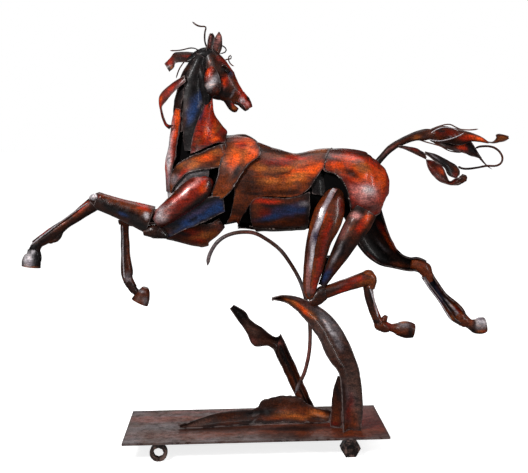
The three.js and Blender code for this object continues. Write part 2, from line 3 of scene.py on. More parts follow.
import bpy
import numpy as np
from mathutils import Matrix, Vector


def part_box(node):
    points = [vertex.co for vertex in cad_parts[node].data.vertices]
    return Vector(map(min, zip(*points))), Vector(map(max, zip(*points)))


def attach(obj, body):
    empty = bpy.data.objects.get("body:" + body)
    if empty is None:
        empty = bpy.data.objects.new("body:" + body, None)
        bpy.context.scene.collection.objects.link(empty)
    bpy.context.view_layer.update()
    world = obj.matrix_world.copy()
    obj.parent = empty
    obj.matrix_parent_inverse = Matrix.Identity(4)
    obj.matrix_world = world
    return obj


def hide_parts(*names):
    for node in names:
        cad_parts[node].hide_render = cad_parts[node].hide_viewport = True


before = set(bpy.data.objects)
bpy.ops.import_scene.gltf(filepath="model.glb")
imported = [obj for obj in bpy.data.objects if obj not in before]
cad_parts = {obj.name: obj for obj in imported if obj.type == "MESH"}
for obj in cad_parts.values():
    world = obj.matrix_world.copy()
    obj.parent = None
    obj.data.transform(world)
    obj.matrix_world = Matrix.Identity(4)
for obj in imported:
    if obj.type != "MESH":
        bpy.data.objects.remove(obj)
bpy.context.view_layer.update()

plate_low, plate_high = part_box("base_plate")
MIDDLE = np.array([(plate_low[0] + plate_high[0]) / 2, (plate_low[1] + plate_high[1]) / 2, 0.0])
MM = 0.001
SHEET = 1.5            # visible thickness of the body's sheet steel at its thinned, torn edges
THIN = 1.2             # the same for ears, mane and tail
WIRE = 1.1             # radius of the drawn wires
ROD = 2.7              # radius of the bent support rod
BEAD = 0.75            # radius of the weld along a seam
PITCH = 2.2            # distance between the points of a formed sheet
CURL_REACH = 3.0       # how far in from its edge a sheet curls up
RIM_REACH = 6.0        # how far in from its edge a sheet is burnt
ALL_ROUND = 360
SMALL_STEP = 0.02      # step that finds which way a form or a sheet runs
ON_PLATE = plate_high[2] / MM + 0.45
ACROSS = np.array([0.0, 1.0, 0.0])


def place(points):
    return np.asarray(points) * MM + MIDDLE


def mirrored(edge):
    """The same edge on the far side, counted on round the form."""
    return [[u, ALL_ROUND - deg] for u, deg in edge]


def across_top(edge):
    """The same edge on the far side, counted back over the top of the form."""
    return [[u, -deg] for u, deg in edge]


# ---------------------------------------------------------------- the colours the torch leaves, and painted highlights
def tint(*shades):
    return np.array([((c / 255 + 0.055) / 1.055) ** 2.4 if c > 10 else c / 3295 for c in shades])


COLOURS = {
    "flare": tint(236, 84, 16), "fire": tint(176, 38, 6), "deep": tint(112, 22, 4),
    "rust": tint(112, 47, 15), "umber": tint(58, 25, 11), "black": tint(17, 13, 14),
    "blue": tint(26, 52, 96), "violet": tint(56, 48, 74), "mauve": tint(124, 72, 66),
    "pink": tint(222, 146, 140), "grey": tint(120, 112, 116), "pale": tint(214, 206, 210),
    "ochre": tint(172, 92, 38), "walnut": tint(84, 58, 50), "lilac": tint(150, 138, 146),
}
# What each ground colour drifts to where the steel stayed cooler, and where it got hotter.
SHIFTS = {
    "fire": ("deep", "flare"), "deep": ("umber", "fire"), "rust": ("umber", "ochre"),
    "umber": ("black", "rust"), "black": ("black", "umber"), "mauve": ("umber", "pink"),
    "walnut": ("umber", "grey"), "grey": ("umber", "pale"), "pale": ("grey", "pale"),
}
# Each piece: its ground colour, then flares as colour, x, z, reach along, reach across, tilt; some flares
# are painted highlights, as marked.
TORCH_AND_HIGHLIGHTS = {
    "stifle_web": ("black", [
        ("blue", 99, 233, 8, 4, 60), ("umber", 105, 257, 8, 4, 0),
    ]),
    # thigh_strip: its lilac and pale flares are a painted highlight.
    "thigh_strip": ("mauve", [
        ("lilac", 88, 313, 23, 4, 70), ("pale", 91, 319, 16, 2, 68), ("lilac", 79, 273, 23, 4, 84),
        ("pale", 77, 265, 16, 2, 86), ("pale", 105, 349, 6, 2, 60), ("lilac", 101, 341, 10, 3, 60),
        ("violet", 83, 292, 8, 3, 75), ("mauve", 76, 231, 13, 3, 88), ("walnut", 72, 215, 10, 5, 0),
    ]),
    # hip_panel: a black sheet in the hip opening, painted shade.
    "hip_panel": ("black", [
        ("umber", 90, 366, 3, 7, 0), ("umber", 81, 351, 4, 6, 0),
    ]),
    "barrel_near": ("rust", [
        ("umber", 60, 401, 41, 4, -2), ("umber", 20, 404, 22, 4, -10),
        ("walnut", 27, 388, 22, 6, -10), ("rust", 1, 379, 18, 15, 0),
        ("umber", -10, 361, 10, 22, 75), ("ochre", 45, 382, 22, 5, 12),
        ("flare", 77, 378, 18, 8, 15), ("flare", 60, 369, 13, 4, 10), ("rust", 38, 363, 26, 6, 5),
        ("ochre", 19, 364, 18, 4, 0), ("umber", 38, 349, 33, 3, 0), ("black", 84, 359, 7, 10, 0),
        ("flare", 93, 384, 8, 4, 20), ("fire", 53, 392, 22, 3, 5), ("umber", -20, 324, 7, 22, 75),
        ("ochre", 12, 382, 11, 4, 0), ("umber", 45, 374, 18, 2, 12), ("black", 1, 348, 11, 3, -10),
        ("flare", 71, 374, 21, 7, 18), ("ochre", 60, 367, 15, 6, 20),
        ("deep", 38, 388, 22, 4, -6), ("umber", -3, 364, 10, 18, 0),
    ]),
    "belly_near": ("umber", [
        ("rust", 6, 327, 7, 15, 0), ("rust", 34, 341, 33, 4, 0), ("fire", 19, 338, 18, 3, 0),
        ("black", 45, 331, 29, 3, 0), ("blue", 54, 326, 22, 6, 8), ("blue", 26, 316, 18, 4, 10),
        ("violet", 63, 333, 11, 4, 10), ("deep", 15, 323, 9, 5, 0), ("rust", 37, 306, 29, 3, 0),
        ("black", 73, 326, 4, 22, 0), ("grey", 69, 334, 7, 3, 0),
    ]),
    # rump_near: its pink and pale flares low on the rump are a painted highlight.
    "rump_near": ("fire", [
        ("umber", 112, 401, 22, 4, 0), ("umber", 149, 396, 18, 4, -15), ("flare", 98, 383, 9, 6, 0),
        ("ochre", 147, 380, 11, 7, -20), ("flare", 169, 361, 10, 16, 0),
        ("flare", 145, 367, 13, 7, 0), ("deep", 124, 358, 10, 18, 0),
        ("umber", 131, 374, 13, 4, -30), ("pink", 150, 345, 15, 11, -20),
        ("pale", 153, 350, 8, 5, -20), ("mauve", 161, 326, 11, 6, 0), ("deep", 133, 327, 9, 11, 0),
        ("rust", 112, 375, 7, 4, 0), ("umber", 108, 392, 15, 3, -20),
    ]),
    # shoulder_blade_near: the mauve band along its top is a painted highlight.
    "shoulder_blade_near": ("rust", [
        ("mauve", -9, 420, 22, 4, -8), ("umber", -28, 412, 11, 7, 80),
        ("flare", -8, 408, 18, 10, 20), ("ochre", -17, 401, 15, 11, 50),
        ("flare", -23, 392, 12, 7, 60), ("umber", -36, 372, 15, 11, 60),
        ("rust", -40, 361, 15, 9, 60), ("umber", 11, 408, 7, 7, 60), ("flare", 1, 399, 10, 6, 40),
        ("rust", -41, 393, 15, 4, 80), ("black", -19, 379, 12, 4, 60), ("fire", -13, 412, 7, 5, 0),
    ]),
    "collar_near": ("rust", [
        ("umber", -87, 384, 15, 6, 40), ("ochre", -76, 389, 18, 5, 30),
        ("flare", -55, 397, 15, 4, 15), ("ochre", -46, 402, 7, 4, 0),
        ("umber", -61, 385, 18, 3, 15), ("fire", -91, 375, 11, 5, 50), ("grey", -102, 368, 7, 7, 0),
        ("umber", -101, 381, 6, 10, 60),
    ]),
    "neck_throat_near": ("fire", [
        ("violet", -63, 458, 9, 3, 75), ("blue", -65, 449, 5, 2, 75), ("fire", -53, 443, 17, 4, 75),
        ("flare", -47, 435, 12, 3, 70), ("flare", -59, 431, 9, 2, 80),
        ("ochre", -41, 436, 8, 2, 60), ("rust", -70, 419, 6, 6, 0), ("umber", -34, 423, 5, 5, 0),
        ("umber", -72, 410, 8, 3, 0), ("flare", -47, 420, 6, 3, 20), ("deep", -64, 443, 9, 2, 80),
        ("umber", -54, 464, 6, 2, 80),
    ]),
    "neck_panel_near": ("black", [
        ("black", -82, 428, 25, 9, 80), ("blue", -72, 464, 17, 6, 65), ("blue", -79, 451, 9, 5, 70),
        ("violet", -64, 447, 8, 3, 70), ("blue", -66, 480, 8, 3, 65),
        ("black", -73, 431, 14, 4, 75), ("umber", -87, 443, 9, 2, 75), ("grey", -66, 467, 4, 1, 70),
    ]),
    # neck_crest: its small grey patch is a painted highlight.
    "neck_crest": ("black", [
        ("grey", -67, 522, 7, 2, 60), ("umber", -81, 514, 5, 3, 0), ("umber", -95, 483, 9, 2, 80),
    ]),
    # breast_strip: the pink, pale and lilac flares down its left edge are a painted highlight.
    "breast_strip": ("fire", [
        ("flare", -94, 454, 11, 4, 70), ("pink", -104, 432, 19, 4, 80),
        ("pink", -109, 406, 22, 5, 86), ("pale", -109, 413, 11, 3, 84),
        ("pale", -110, 389, 13, 3, -88), ("lilac", -108, 365, 13, 7, -70),
        ("deep", -99, 409, 22, 3, 80), ("deep", -103, 384, 19, 3, 84),
        ("grey", -104, 354, 11, 7, 0),
    ]),
    # upper_arm_near: its long pink streak is a painted highlight.
    "upper_arm_near": ("deep", [
        ("fire", -67, 362, 15, 7, 45), ("flare", -62, 359, 7, 4, 45),
        ("umber", -79, 373, 18, 4, 45), ("pink", -91, 348, 33, 3, 44),
        ("fire", -102, 335, 18, 4, 44), ("pale", -117, 325, 9, 7, 44),
        ("mauve", -110, 330, 11, 6, 44), ("umber", -77, 337, 29, 4, 40),
        ("black", -67, 342, 26, 3, 38), ("black", -56, 362, 4, 10, 0),
        ("umber", -102, 352, 18, 3, 45),
    ]),
    "elbow_guard": ("black", [
        ("blue", -63, 321, 33, 6, 28), ("blue", -89, 310, 22, 6, 26), ("blue", -42, 334, 11, 7, 30),
        ("violet", -70, 328, 22, 4, 28), ("black", -104, 305, 11, 5, 20),
        ("umber", -115, 300, 9, 5, 0), ("black", -77, 316, 7, 3, 28), ("blue", -113, 292, 7, 2, 10),
    ]),
    "chest_keel": ("rust", [
        ("fire", -82, 297, 18, 4, 10), ("umber", -64, 302, 14, 7, 0),
        ("ochre", -57, 291, 11, 4, 15), ("black", -93, 295, 11, 4, 0), ("deep", -72, 284, 11, 4, 0),
        ("mauve", -41, 302, 5, 4, 0),
    ]),
    # forearm_near: its small pale spot is a painted highlight.
    "forearm_near": ("umber", [
        ("deep", -171, 347, 28, 4, -18), ("deep", -147, 338, 15, 4, -18),
        ("fire", -149, 338, 11, 1, -18), ("rust", -175, 339, 19, 3, -24),
        ("black", -187, 336, 19, 6, -26), ("black", -161, 321, 30, 7, -27),
        ("black", -139, 307, 19, 6, -28), ("rust", -144, 328, 11, 4, -20),
        ("fire", -142, 331, 7, 2, -18), ("pale", -138, 322, 3, 3, -20),
        ("black", -129, 319, 3, 13, -10), ("blue", -169, 324, 6, 2, -24),
        ("deep", -201, 349, 6, 3, 0),
    ]),
    "cannon_near": ("umber", [
        ("fire", -254, 316, 32, 1, 38), ("rust", -224, 331, 13, 4, 38),
        ("umber", -247, 310, 11, 3, 38), ("black", -274, 290, 11, 3, 38),
        ("fire", -222, 334, 9, 2, 38), ("rust", -251, 312, 11, 2, 38),
    ]),
    "thigh_front_near": ("rust", [
        ("umber", 115, 341, 13, 7, -80), ("deep", 116, 330, 10, 5, -80),
        ("black", 109, 347, 8, 3, 70), ("fire", 98, 299, 18, 3, 72), ("umber", 106, 309, 18, 3, 72),
        ("deep", 91, 273, 21, 4, 80), ("fire", 88, 252, 13, 3, 85), ("umber", 95, 262, 16, 3, 80),
        ("flare", 93, 315, 9, 2, 70), ("umber", 71, 273, 23, 2, 85), ("mauve", 76, 220, 8, 4, 0),
        ("fire", 81, 230, 10, 3, 85),
    ]),
    # thigh_rear_near: its thin grey line is a painted highlight.
    "thigh_rear_near": ("umber", [
        ("flare", 152, 314, 10, 4, 60), ("fire", 142, 303, 10, 4, 50), ("pink", 136, 317, 6, 4, 0),
        ("rust", 127, 301, 13, 4, 60), ("mauve", 120, 298, 13, 3, 65),
        ("black", 116, 272, 18, 4, 60), ("grey", 108, 264, 13, 2, 60), ("blue", 96, 238, 9, 4, 60),
        ("umber", 131, 285, 13, 4, 60), ("black", 145, 290, 10, 2, 60),
        ("umber", 156, 320, 5, 3, 0),
    ]),
    "gaskin_near": ("rust", [
        ("umber", 108, 221, 16, 4, 20), ("deep", 129, 229, 13, 5, 15),
        ("fire", 119, 219, 10, 3, 20), ("black", 92, 219, 6, 4, 0), ("umber", 148, 239, 10, 5, 0),
        ("fire", 140, 233, 8, 3, 10),
    ]),
    # cannon_hind_near: its thin pale and pink lines are a painted highlight.
    "cannon_hind_near": ("umber", [
        ("pale", 160, 212, 16, 1, -78), ("pink", 163, 195, 13, 1, -78),
        ("black", 154, 217, 13, 2, -75), ("rust", 162, 233, 5, 5, 0), ("fire", 167, 190, 8, 2, -75),
        ("black", 164, 176, 5, 4, 0), ("rust", 174, 180, 4, 4, 0),
    ]),
    "forearm_far": ("umber", [
        ("rust", -171, 302, 14, 7, 0),
    ]),
    "cannon_far": ("umber", [
        ("rust", -171, 272, 24, 3, -90), ("black", -165, 287, 12, 2, -90),
        ("grey", -172, 230, 4, 7, 0), ("black", -168, 220, 6, 4, -40),
    ]),
    "thigh_far": ("black", [
        ("umber", 180, 277, 16, 5, -50), ("grey", 188, 263, 16, 2, -45),
        ("umber", 202, 251, 14, 4, -35), ("rust", 152, 261, 16, 2, -50),
        ("rust", 171, 242, 19, 2, -20), ("flare", 189, 282, 16, 2, -60),
        ("fire", 184, 294, 8, 3, -60), ("flare", 198, 267, 8, 2, -60),
        ("rust", 210, 238, 11, 3, -10), ("deep", 164, 252, 11, 2, -40),
        ("black", 171, 269, 14, 4, -50),
    ]),
    # cannon_hind_far: its thin pale lines are a painted highlight.
    "cannon_hind_far": ("umber", [
        ("blue", 254, 213, 17, 4, -50), ("pale", 244, 219, 17, 1, -52), ("black", 265, 198, 17, 3, -52),
        ("blue", 265, 195, 15, 3, -52), ("rust", 271, 207, 17, 2, -50), ("rust", 276, 169, 14, 3, -55),
        ("ochre", 282, 165, 3, 3, 0), ("rust", 290, 179, 11, 3, -55), ("fire", 293, 173, 5, 2, -50),
        ("black", 279, 178, 16, 2, -52), ("pale", 286, 176, 14, 1, -52), ("lilac", 294, 163, 5, 3, -45),
        ("rust", 297, 154, 7, 2, -20),
    ]),
    # hoof_fore_near: its pale and lilac left half is a painted highlight.
    "hoof_fore_near": ("black", [
        ("pale", -294, 266, 6, 9, 0), ("lilac", -293, 263, 4, 4, 0), ("ochre", -291, 257, 11, 1, 0),
        ("pale", -287, 277, 2, 3, 0), ("black", -280, 269, 6, 17, 0),
    ]),
    "hoof_fore_far": ("umber", [
        ("grey", -156, 213, 6, 2, -20), ("walnut", -155, 202, 8, 4, 0),
        ("black", -167, 204, 3, 4, 0), ("grey", -149, 198, 3, 5, 0),
    ]),
    "hoof_hind_near": ("umber", [
        ("walnut", 198, 167, 10, 5, 0), ("grey", 201, 170, 8, 3, 0), ("black", 209, 160, 4, 8, 0),
        ("rust", 188, 163, 6, 6, 0), ("ochre", 198, 174, 8, 2, 0), ("black", 198, 154, 13, 2, 0),
        ("deep", 177, 169, 8, 4, -20),
    ]),
    # hoof_hind_far: its pale, grey and lilac patch is a painted highlight.
    "hoof_hind_far": ("walnut", [
        ("pale", 322, 156, 6, 7, 0), ("grey", 323, 152, 5, 5, 0), ("lilac", 321, 162, 4, 2, 0),
        ("black", 313, 158, 2, 8, 0), ("rust", 305, 158, 6, 6, 0), ("ochre", 324, 142, 7, 3, 0),
        ("black", 312, 144, 4, 3, 0), ("fire", 328, 142, 3, 2, 0),
    ]),
    # tusk_support: the grey and pale band along its upper curve is a painted highlight.
    "tusk_support": ("walnut", [
        ("umber", 33, 209, 11, 4, -10), ("grey", 51, 209, 13, 2, -10),
        ("ochre", 53, 201, 18, 3, -30), ("flare", 66, 191, 12, 3, -42),
        ("ochre", 77, 184, 7, 3, -45), ("grey", 94, 180, 22, 6, -50),
        ("pale", 101, 166, 15, 2, -52), ("grey", 114, 145, 15, 4, -60),
        ("umber", 125, 126, 18, 7, -75), ("walnut", 129, 107, 22, 7, -85),
        ("deep", 125, 57, 18, 6, -90), ("rust", 132, 41, 15, 5, -90),
        ("umber", 117, 76, 22, 3, -90), ("pale", 126, 25, 11, 1, 0), ("rust", 121, 34, 7, 4, 0),
        ("umber", 99, 153, 18, 4, -60),
    ]),
    "tusk_gusset": ("umber", [
        ("black", 112, 75, 15, 4, -90), ("rust", 108, 40, 7, 5, 0), ("deep", 108, 32, 6, 3, 0),
    ]),
    "channel_post": ("umber", [
        ("walnut", 40, 114, 23, 4, -66), ("umber", 50, 102, 27, 5, -66),
        ("black", 54, 89, 34, 2, -66), ("black", 42, 114, 19, 2, -66),
        ("walnut", 65, 65, 15, 4, -66), ("mauve", 35, 134, 6, 4, 0),
    ]),
    "post_blade": ("umber", [
        ("black", -15, 176, 15, 8, -45), ("black", -23, 186, 8, 5, 0),
        ("walnut", -4, 154, 15, 8, -40), ("mauve", -2, 140, 9, 3, -10),
        ("umber", 15, 138, 15, 6, -20), ("black", 35, 143, 6, 5, 0),
    ]),
    "ground_leaf": ("umber", [
        ("walnut", -84, 30, 23, 4, 5), ("umber", -37, 41, 30, 8, 0), ("grey", -37, 45, 26, 2, 3),
        ("ochre", 56, 36, 23, 4, 0), ("rust", 71, 42, 19, 6, -10), ("umber", 25, 55, 23, 8, 0),
        ("ochre", 87, 38, 11, 4, -10), ("black", 1, 40, 23, 3, 0), ("rust", 32, 33, 19, 2, 0),
        ("walnut", 48, 59, 19, 4, 0), ("grey", 33, 63, 23, 1, 0),
    ]),
    "support_rod": ("walnut", [
        ("mauve", 72, 117, 30, 8, -90), ("grey", 56, 76, 5, 8, 0), ("mauve", 9, 281, 23, 8, -50),
        ("lilac", 54, 71, 2, 3, 0),
    ]),
    "cheek_near": ("umber", [
        ("rust", -50, 519, 7, 5, 80), ("fire", -53, 508, 11, 4, 80), ("flare", -54, 506, 5, 1, 80),
        ("grey", -45, 498, 8, 4, 60), ("pale", -51, 493, 7, 4, 60), ("pale", -54, 490, 4, 2, 0),
        ("mauve", -53, 499, 4, 3, 70), ("mauve", -47, 485, 4, 2, -30), ("umber", -41, 511, 5, 4, 0),
        ("black", -38, 495, 6, 1, 70), ("rust", -43, 481, 4, 1, -30),
    ]),
    "face_plate": ("umber", [
        ("umber", -48, 531, 5, 5, 0), ("rust", -52, 519, 5, 2, 80), ("deep", -39, 525, 4, 3, -50),
        ("fire", -29, 517, 7, 2, -50), ("deep", -33, 520, 5, 3, -50),
        ("black", -34, 510, 4, 3, -30), ("grey", -35, 514, 1, 2, 0), ("blue", -25, 506, 4, 2, -55),
        ("grey", -24, 505, 2, 1, -55), ("fire", -32, 496, 4, 5, 0), ("flare", -33, 496, 1, 2, 0),
        ("black", -31, 479, 10, 5, 0), ("black", -37, 484, 4, 4, 0), ("grey", -22, 481, 6, 1, 60),
        ("mauve", -37, 490, 1, 2, 0), ("mauve", -35, 487, 2, 1, -20),
        ("mauve", -24, 495, 4, 2, -60), ("deep", -16, 495, 9, 2, -55),
        ("fire", -10, 484, 8, 3, -55), ("deep", -13, 481, 4, 4, -60),
        ("umber", -17, 482, 3, 1, -70), ("umber", -17, 475, 4, 2, -50),
        ("deep", -6, 477, 4, 2, -50), ("black", -45, 476, 6, 2, 0),
    ]),
    "muzzle": ("deep", [
        ("pale", -10, 471, 4, 2, -30), ("grey", -11, 467, 4, 1, -40), ("pink", -4, 466, 2, 2, 0),
        ("pink", -4, 466, 1, 1, 0), ("black", 0, 473, 4, 2, -60), ("deep", 3, 463, 4, 2, -70),
        ("rust", -4, 459, 4, 2, 40), ("pale", -8, 462, 2, 1, -40), ("fire", -8, 476, 4, 2, -40),
        ("umber", -14, 470, 2, 2, 0),
    ]),
    "lower_jaw": ("black", [
        ("ochre", -19, 462, 4, 4, -40), ("fire", -22, 466, 3, 2, -40), ("rust", -18, 458, 3, 2, 0),
        ("umber", -32, 475, 7, 2, -20),
    ]),
    "ear_near": ("umber", [
        ("mauve", -52, 548, 9, 2, 80), ("pink", -51, 551, 5, 1, 80), ("black", -47, 547, 8, 2, 80),
        ("umber", -50, 539, 3, 3, 0),
    ]),
    "ear_far": ("mauve", [
        ("pink", -41, 549, 8, 2, 70), ("pink", -45, 542, 8, 2, 60), ("umber", -39, 539, 5, 3, 60),
        ("rust", -41, 536, 3, 2, 0), ("black", -37, 543, 4, 1, 85),
    ]),
    "mane_top_strip": ("umber", [
        ("deep", -81, 530, 9, 2, 5), ("black", -90, 527, 8, 2, 0), ("fire", -106, 524, 5, 5, 45),
        ("deep", -111, 520, 3, 3, 0), ("ochre", -102, 515, 2, 2, 0), ("black", -96, 535, 5, 1, 0),
    ]),
    "mane_side_ribbon": ("deep", [
        ("umber", -85, 500, 5, 5, 0), ("deep", -95, 493, 6, 5, 40), ("fire", -105, 484, 8, 4, 45),
        ("flare", -118, 474, 5, 3, 80), ("fire", -118, 466, 5, 2, 85),
        ("umber", -114, 447, 9, 2, 75), ("black", -105, 437, 5, 2, 0),
        ("mauve", -110, 487, 5, 1, 40),
    ]),
    "tail_stem": ("umber", [
        ("mauve", 188, 402, 11, 1, 45), ("rust", 206, 413, 11, 1, 25),
        ("ochre", 225, 418, 6, 2, 10), ("black", 212, 410, 11, 1, 20),
        ("black", 182, 395, 6, 1, 50), ("rust", 233, 420, 7, 1, 10), ("grey", 238, 420, 6, 1, 10),
    ]),
    "tail_under_leaf": ("umber", [
        ("flare", 288, 410, 7, 5, -80), ("fire", 291, 402, 6, 4, 0), ("flare", 284, 414, 4, 2, 0),
        ("black", 268, 408, 11, 3, -10), ("black", 304, 402, 7, 4, -60),
        ("black", 310, 393, 6, 3, -60), ("rust", 276, 401, 7, 1, -10), ("grey", 283, 398, 7, 1, 0),
    ]),
    "tail_fold": ("black", [
        ("rust", 278, 373, 6, 3, -60), ("deep", 276, 367, 4, 4, 0), ("grey", 248, 392, 9, 1, -40),
        ("umber", 269, 381, 9, 2, -50),
    ]),
    "tail_upper_leaf": ("umber", [
        ("deep", 263, 424, 15, 4, 5), ("black", 257, 426, 9, 1, 0), ("flare", 307, 416, 11, 3, -15),
        ("fire", 293, 417, 9, 3, 0), ("grey", 275, 418, 11, 1, 20), ("grey", 254, 413, 11, 1, -10),
        ("pale", 242, 419, 4, 1, 0), ("umber", 301, 421, 7, 1, -10), ("deep", 274, 423, 6, 3, 0),
    ]),
    "tail_curl": ("rust", [
        ("ochre", 345, 416, 6, 3, 0), ("umber", 333, 409, 6, 1, 10),
    ]),
    "tail_lower_strip": ("umber", [
        ("mauve", 213, 404, 7, 1, -10), ("black", 230, 398, 6, 2, -40),
        ("deep", 222, 402, 6, 2, -20),
    ]),
    "tail_lower_leaf": ("deep", [
        ("umber", 245, 380, 6, 4, 0), ("flare", 256, 373, 5, 2, -40),
        ("mauve", 254, 364, 9, 3, -35), ("black", 254, 368, 9, 1, -20),
        ("umber", 264, 359, 7, 3, -30), ("rust", 277, 355, 6, 2, 20),
    ]),
    # base_plate: the pale mauve patches on its top are partly its own tint, partly a painted sheen.
    "base_plate": ("walnut", [
        ("mauve", -120, 30, 60, 16, 0), ("mauve", -40, 62, 90, 6, 0), ("mauve", 150, 30, 30, 40, 0),
        ("rust", 0, -45, 130, 20, 0), ("umber", 60, -60, 100, 12, 0), ("umber", -60, -20, 60, 14, 0),
        ("deep", 140, -20, 40, 40, 0), ("umber", -130, 10, 50, 4, 4), ("rust", 40, 0, 60, 16, 0),
        ("black", 60, -30, 50, 10, 0), ("rust", 120, -50, 60, 16, 0), ("rust", -60, 30, 80, 8, 0),
    ]),
    "chest_apron": ("grey", [
        ("pale", -104, 350, 12, 25, 0), ("black", -70, 362, 22, 14, 0),
    ]),
}
PLAIN = {
    "barrel_far": "rust", "belly_far": "umber", "rump_far": "deep", "shoulder_blade_far": "rust",
    "neck_far": "umber", "cheek_far": "umber", "upper_arm_far": "umber", "rusty_joint": "rust",
    "bright_steel_and_highlight": "pale", "plain_steel": "umber", "soot": "black", "wires": "umber", "weld": "grey",
}
TORCH_AND_HIGHLIGHTS.update({name: (ground, []) for name, ground in PLAIN.items()})


# ---------------------------------------------------------------- curves and forms
def spline(rows, at):
    rows = np.asarray(rows, float)
    last = len(rows) - 1
    t = np.clip(np.asarray(at, float), 0, last)
    i = np.minimum(t.astype(int), last - 1)
    s = (t - i)[:, None]
    p1, p2 = rows[i], rows[i + 1]
    p0 = np.where((i > 0)[:, None], rows[np.maximum(i - 1, 0)], 2 * p1 - p2)
    p3 = np.where((i + 2 <= last)[:, None], rows[np.minimum(i + 2, last)], 2 * p2 - p1)
    bend = 2 * p0 - 5 * p1 + 4 * p2 - p3
    return 0.5 * (2 * p1 + (p2 - p0) * s + bend * s**2 + (3 * p1 - p0 - 3 * p2 + p3) * s**3)


def along(rows, share):
    return spline(rows, np.asarray(share) * (len(rows) - 1))


def unit(vectors):
    return vectors / np.maximum(np.linalg.norm(vectors, axis=-1, keepdims=True), 1e-9)


# A form is a row of oval sections: x, y, z of the centre, half height and half width.
# Angle 0 is up (or left on an upright form) and 90 is the near side.
def form_point(form, u, deg, lift):
    centre = spline(form, u)
    ahead, behind = spline(form, u + SMALL_STEP), spline(form, np.maximum(u - SMALL_STEP, 0))
    run = unit(ahead[:, :3] - behind[:, :3])
    up = unit(np.cross(run, ACROSS))
    near = np.cross(run, up)
    turn = np.radians(deg)
    high = (centre[:, 3] + lift) * np.cos(turn)
    wide = (centre[:, 4] + lift) * np.sin(turn)
    return centre[:, :3] + up * high[:, None] + near * wide[:, None]


def on_form(form, front, back, lift=0.0):
    """A sheet on a form between two edges, each a row of (place along the form, angle)."""
    def surface(s, v):
        a, b = along(front, s), along(back, s)
        places = a[:, 0] + (b[:, 0] - a[:, 0]) * v
        turns = a[:, 1] + (b[:, 1] - a[:, 1]) * v
        return form_point(form, places, turns, lift)
    return surface


def round_form(form, start, finish, lift=0.0):
    """A sheet rolled round the whole length of a form, from one angle to another."""
    end = len(form) - 1
    return on_form(form, [[0, start], [end, start]], [[0, finish], [end, finish]], lift)


def between(edge_a, edge_b, crown=0.0):
    """A sheet between two edges in space, crowned by so much along its middle."""
    def flat(s, v):
        return along(edge_a, s) * (1 - v)[:, None] + along(edge_b, s) * v[:, None]

    def surface(s, v):
        ds = flat(np.minimum(s + SMALL_STEP, 1), v) - flat(np.maximum(s - SMALL_STEP, 0), v)
        dv = along(edge_b, s) - along(edge_a, s)
        bow = crown * np.sin(np.pi * np.clip(v, 0, 1))
        return flat(s, v) + unit(np.cross(ds, dv)) * bow[:, None]
    return surface


def edge_of(form, edge, lift):
    """The line in space that an edge on a form follows."""
    places = along(edge, np.linspace(0, 1, 26))
    return form_point(form, places[:, 0], places[:, 1], lift)


def core_of(form):
    """Gives each point the nearest place on the form's centre line."""
    centres = spline(form, np.linspace(0, len(form) - 1, 60))[:, :3]

    def middle(points):
        gap = np.linalg.norm(points[:, None, :] - centres[None, :, :], axis=2)
        return centres[np.argmin(gap, axis=1)]
    return middle


# ---------------------------------------------------------------- hammer marks and ragged edges
CELLS = 48
LATTICE = np.random.RandomState(11).uniform(-1, 1, (CELLS, CELLS, CELLS))


def mottle(points, size, shift=0.0):
    """Smooth random unevenness between -1 and 1, in lumps of the given size."""
    q = np.asarray(points, float) / size + 500.37 + shift
    cell = np.floor(q).astype(int)
    f = q - cell
    f = f * f * (3 - 2 * f)
    total = np.zeros(len(q))
    for corner in range(8):
        step = np.array([corner & 1, (corner >> 1) & 1, corner >> 2])
        share = np.prod(np.where(step, f, 1 - f), axis=1)
        at = (cell + step) % CELLS
        total += share * LATTICE[at[:, 0], at[:, 1], at[:, 2]]
    return total


def ragged(distance, seed, deep):
    """How far a torn edge wanders at a distance along it."""
    line = np.stack([distance, np.full_like(distance, seed * 17.3), np.zeros_like(distance)], axis=1)
    return deep * (0.65 * mottle(line, 9) + 0.35 * mottle(line, 3.5, 7))


BROAD_SWAY, CLOSE_SWAY = 6, 2.5    # how far the border of a flare wanders
FULL_SWAY_REACH = 20               # a flare smaller than this wanders less


def torch_and_highlight_colours(points, name):
    """Each point's colour: a drifting ground with the piece's flares laid over it in turn; some flares are
    painted highlights.
    """
    ground, flares_and_highlights = TORCH_AND_HIGHLIGHTS[name]
    sway = BROAD_SWAY * np.stack([mottle(points, 15, shift) for shift in (3, 9, 21)], axis=1)
    sway += CLOSE_SWAY * np.stack([mottle(points, 5, shift) for shift in (1, 2, 5)], axis=1)
    colour = np.repeat(COLOURS[ground][None, :], len(points), axis=0)
    drift = np.clip(mottle(points, 26, 4) * 1.6, -1, 1)[:, None]
    darker, brighter = SHIFTS[ground]
    colour = colour + np.clip(-drift, 0, 1) * 0.75 * (COLOURS[darker] - colour)
    colour = colour + np.clip(drift, 0, 1) * 0.6 * (COLOURS[brighter] - colour)
    for heat_and_highlight, x, z, reach, width, tilt in flares_and_highlights:
        turn = math.radians(tilt)
        loose = min(math.sqrt(reach * width) / FULL_SWAY_REACH, 1.0)
        dx = points[:, 0] + loose * sway[:, 0] - x
        dz = points[:, 2] + loose * sway[:, 2] - z
        u = (dx * math.cos(turn) + dz * math.sin(turn)) / reach
        w = (dz * math.cos(turn) - dx * math.sin(turn)) / width
        hold = np.exp(-((u * u + w * w) ** 1.5) * 0.7)[:, None]
        colour = colour + hold * 0.95 * (COLOURS[heat_and_highlight] - colour)
    return colour


# ---------------------------------------------------------------- making pieces
def deselect():
    for thing in bpy.context.selected_objects:
        thing.select_set(False)


def finish_piece(piece, name, nodes, materials):
    piece.name = name
    piece.data.name = name
    for material in materials:
        piece.data.materials.append(material)
    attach(piece, "root")
    if nodes:
        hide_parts(*nodes)
    return piece


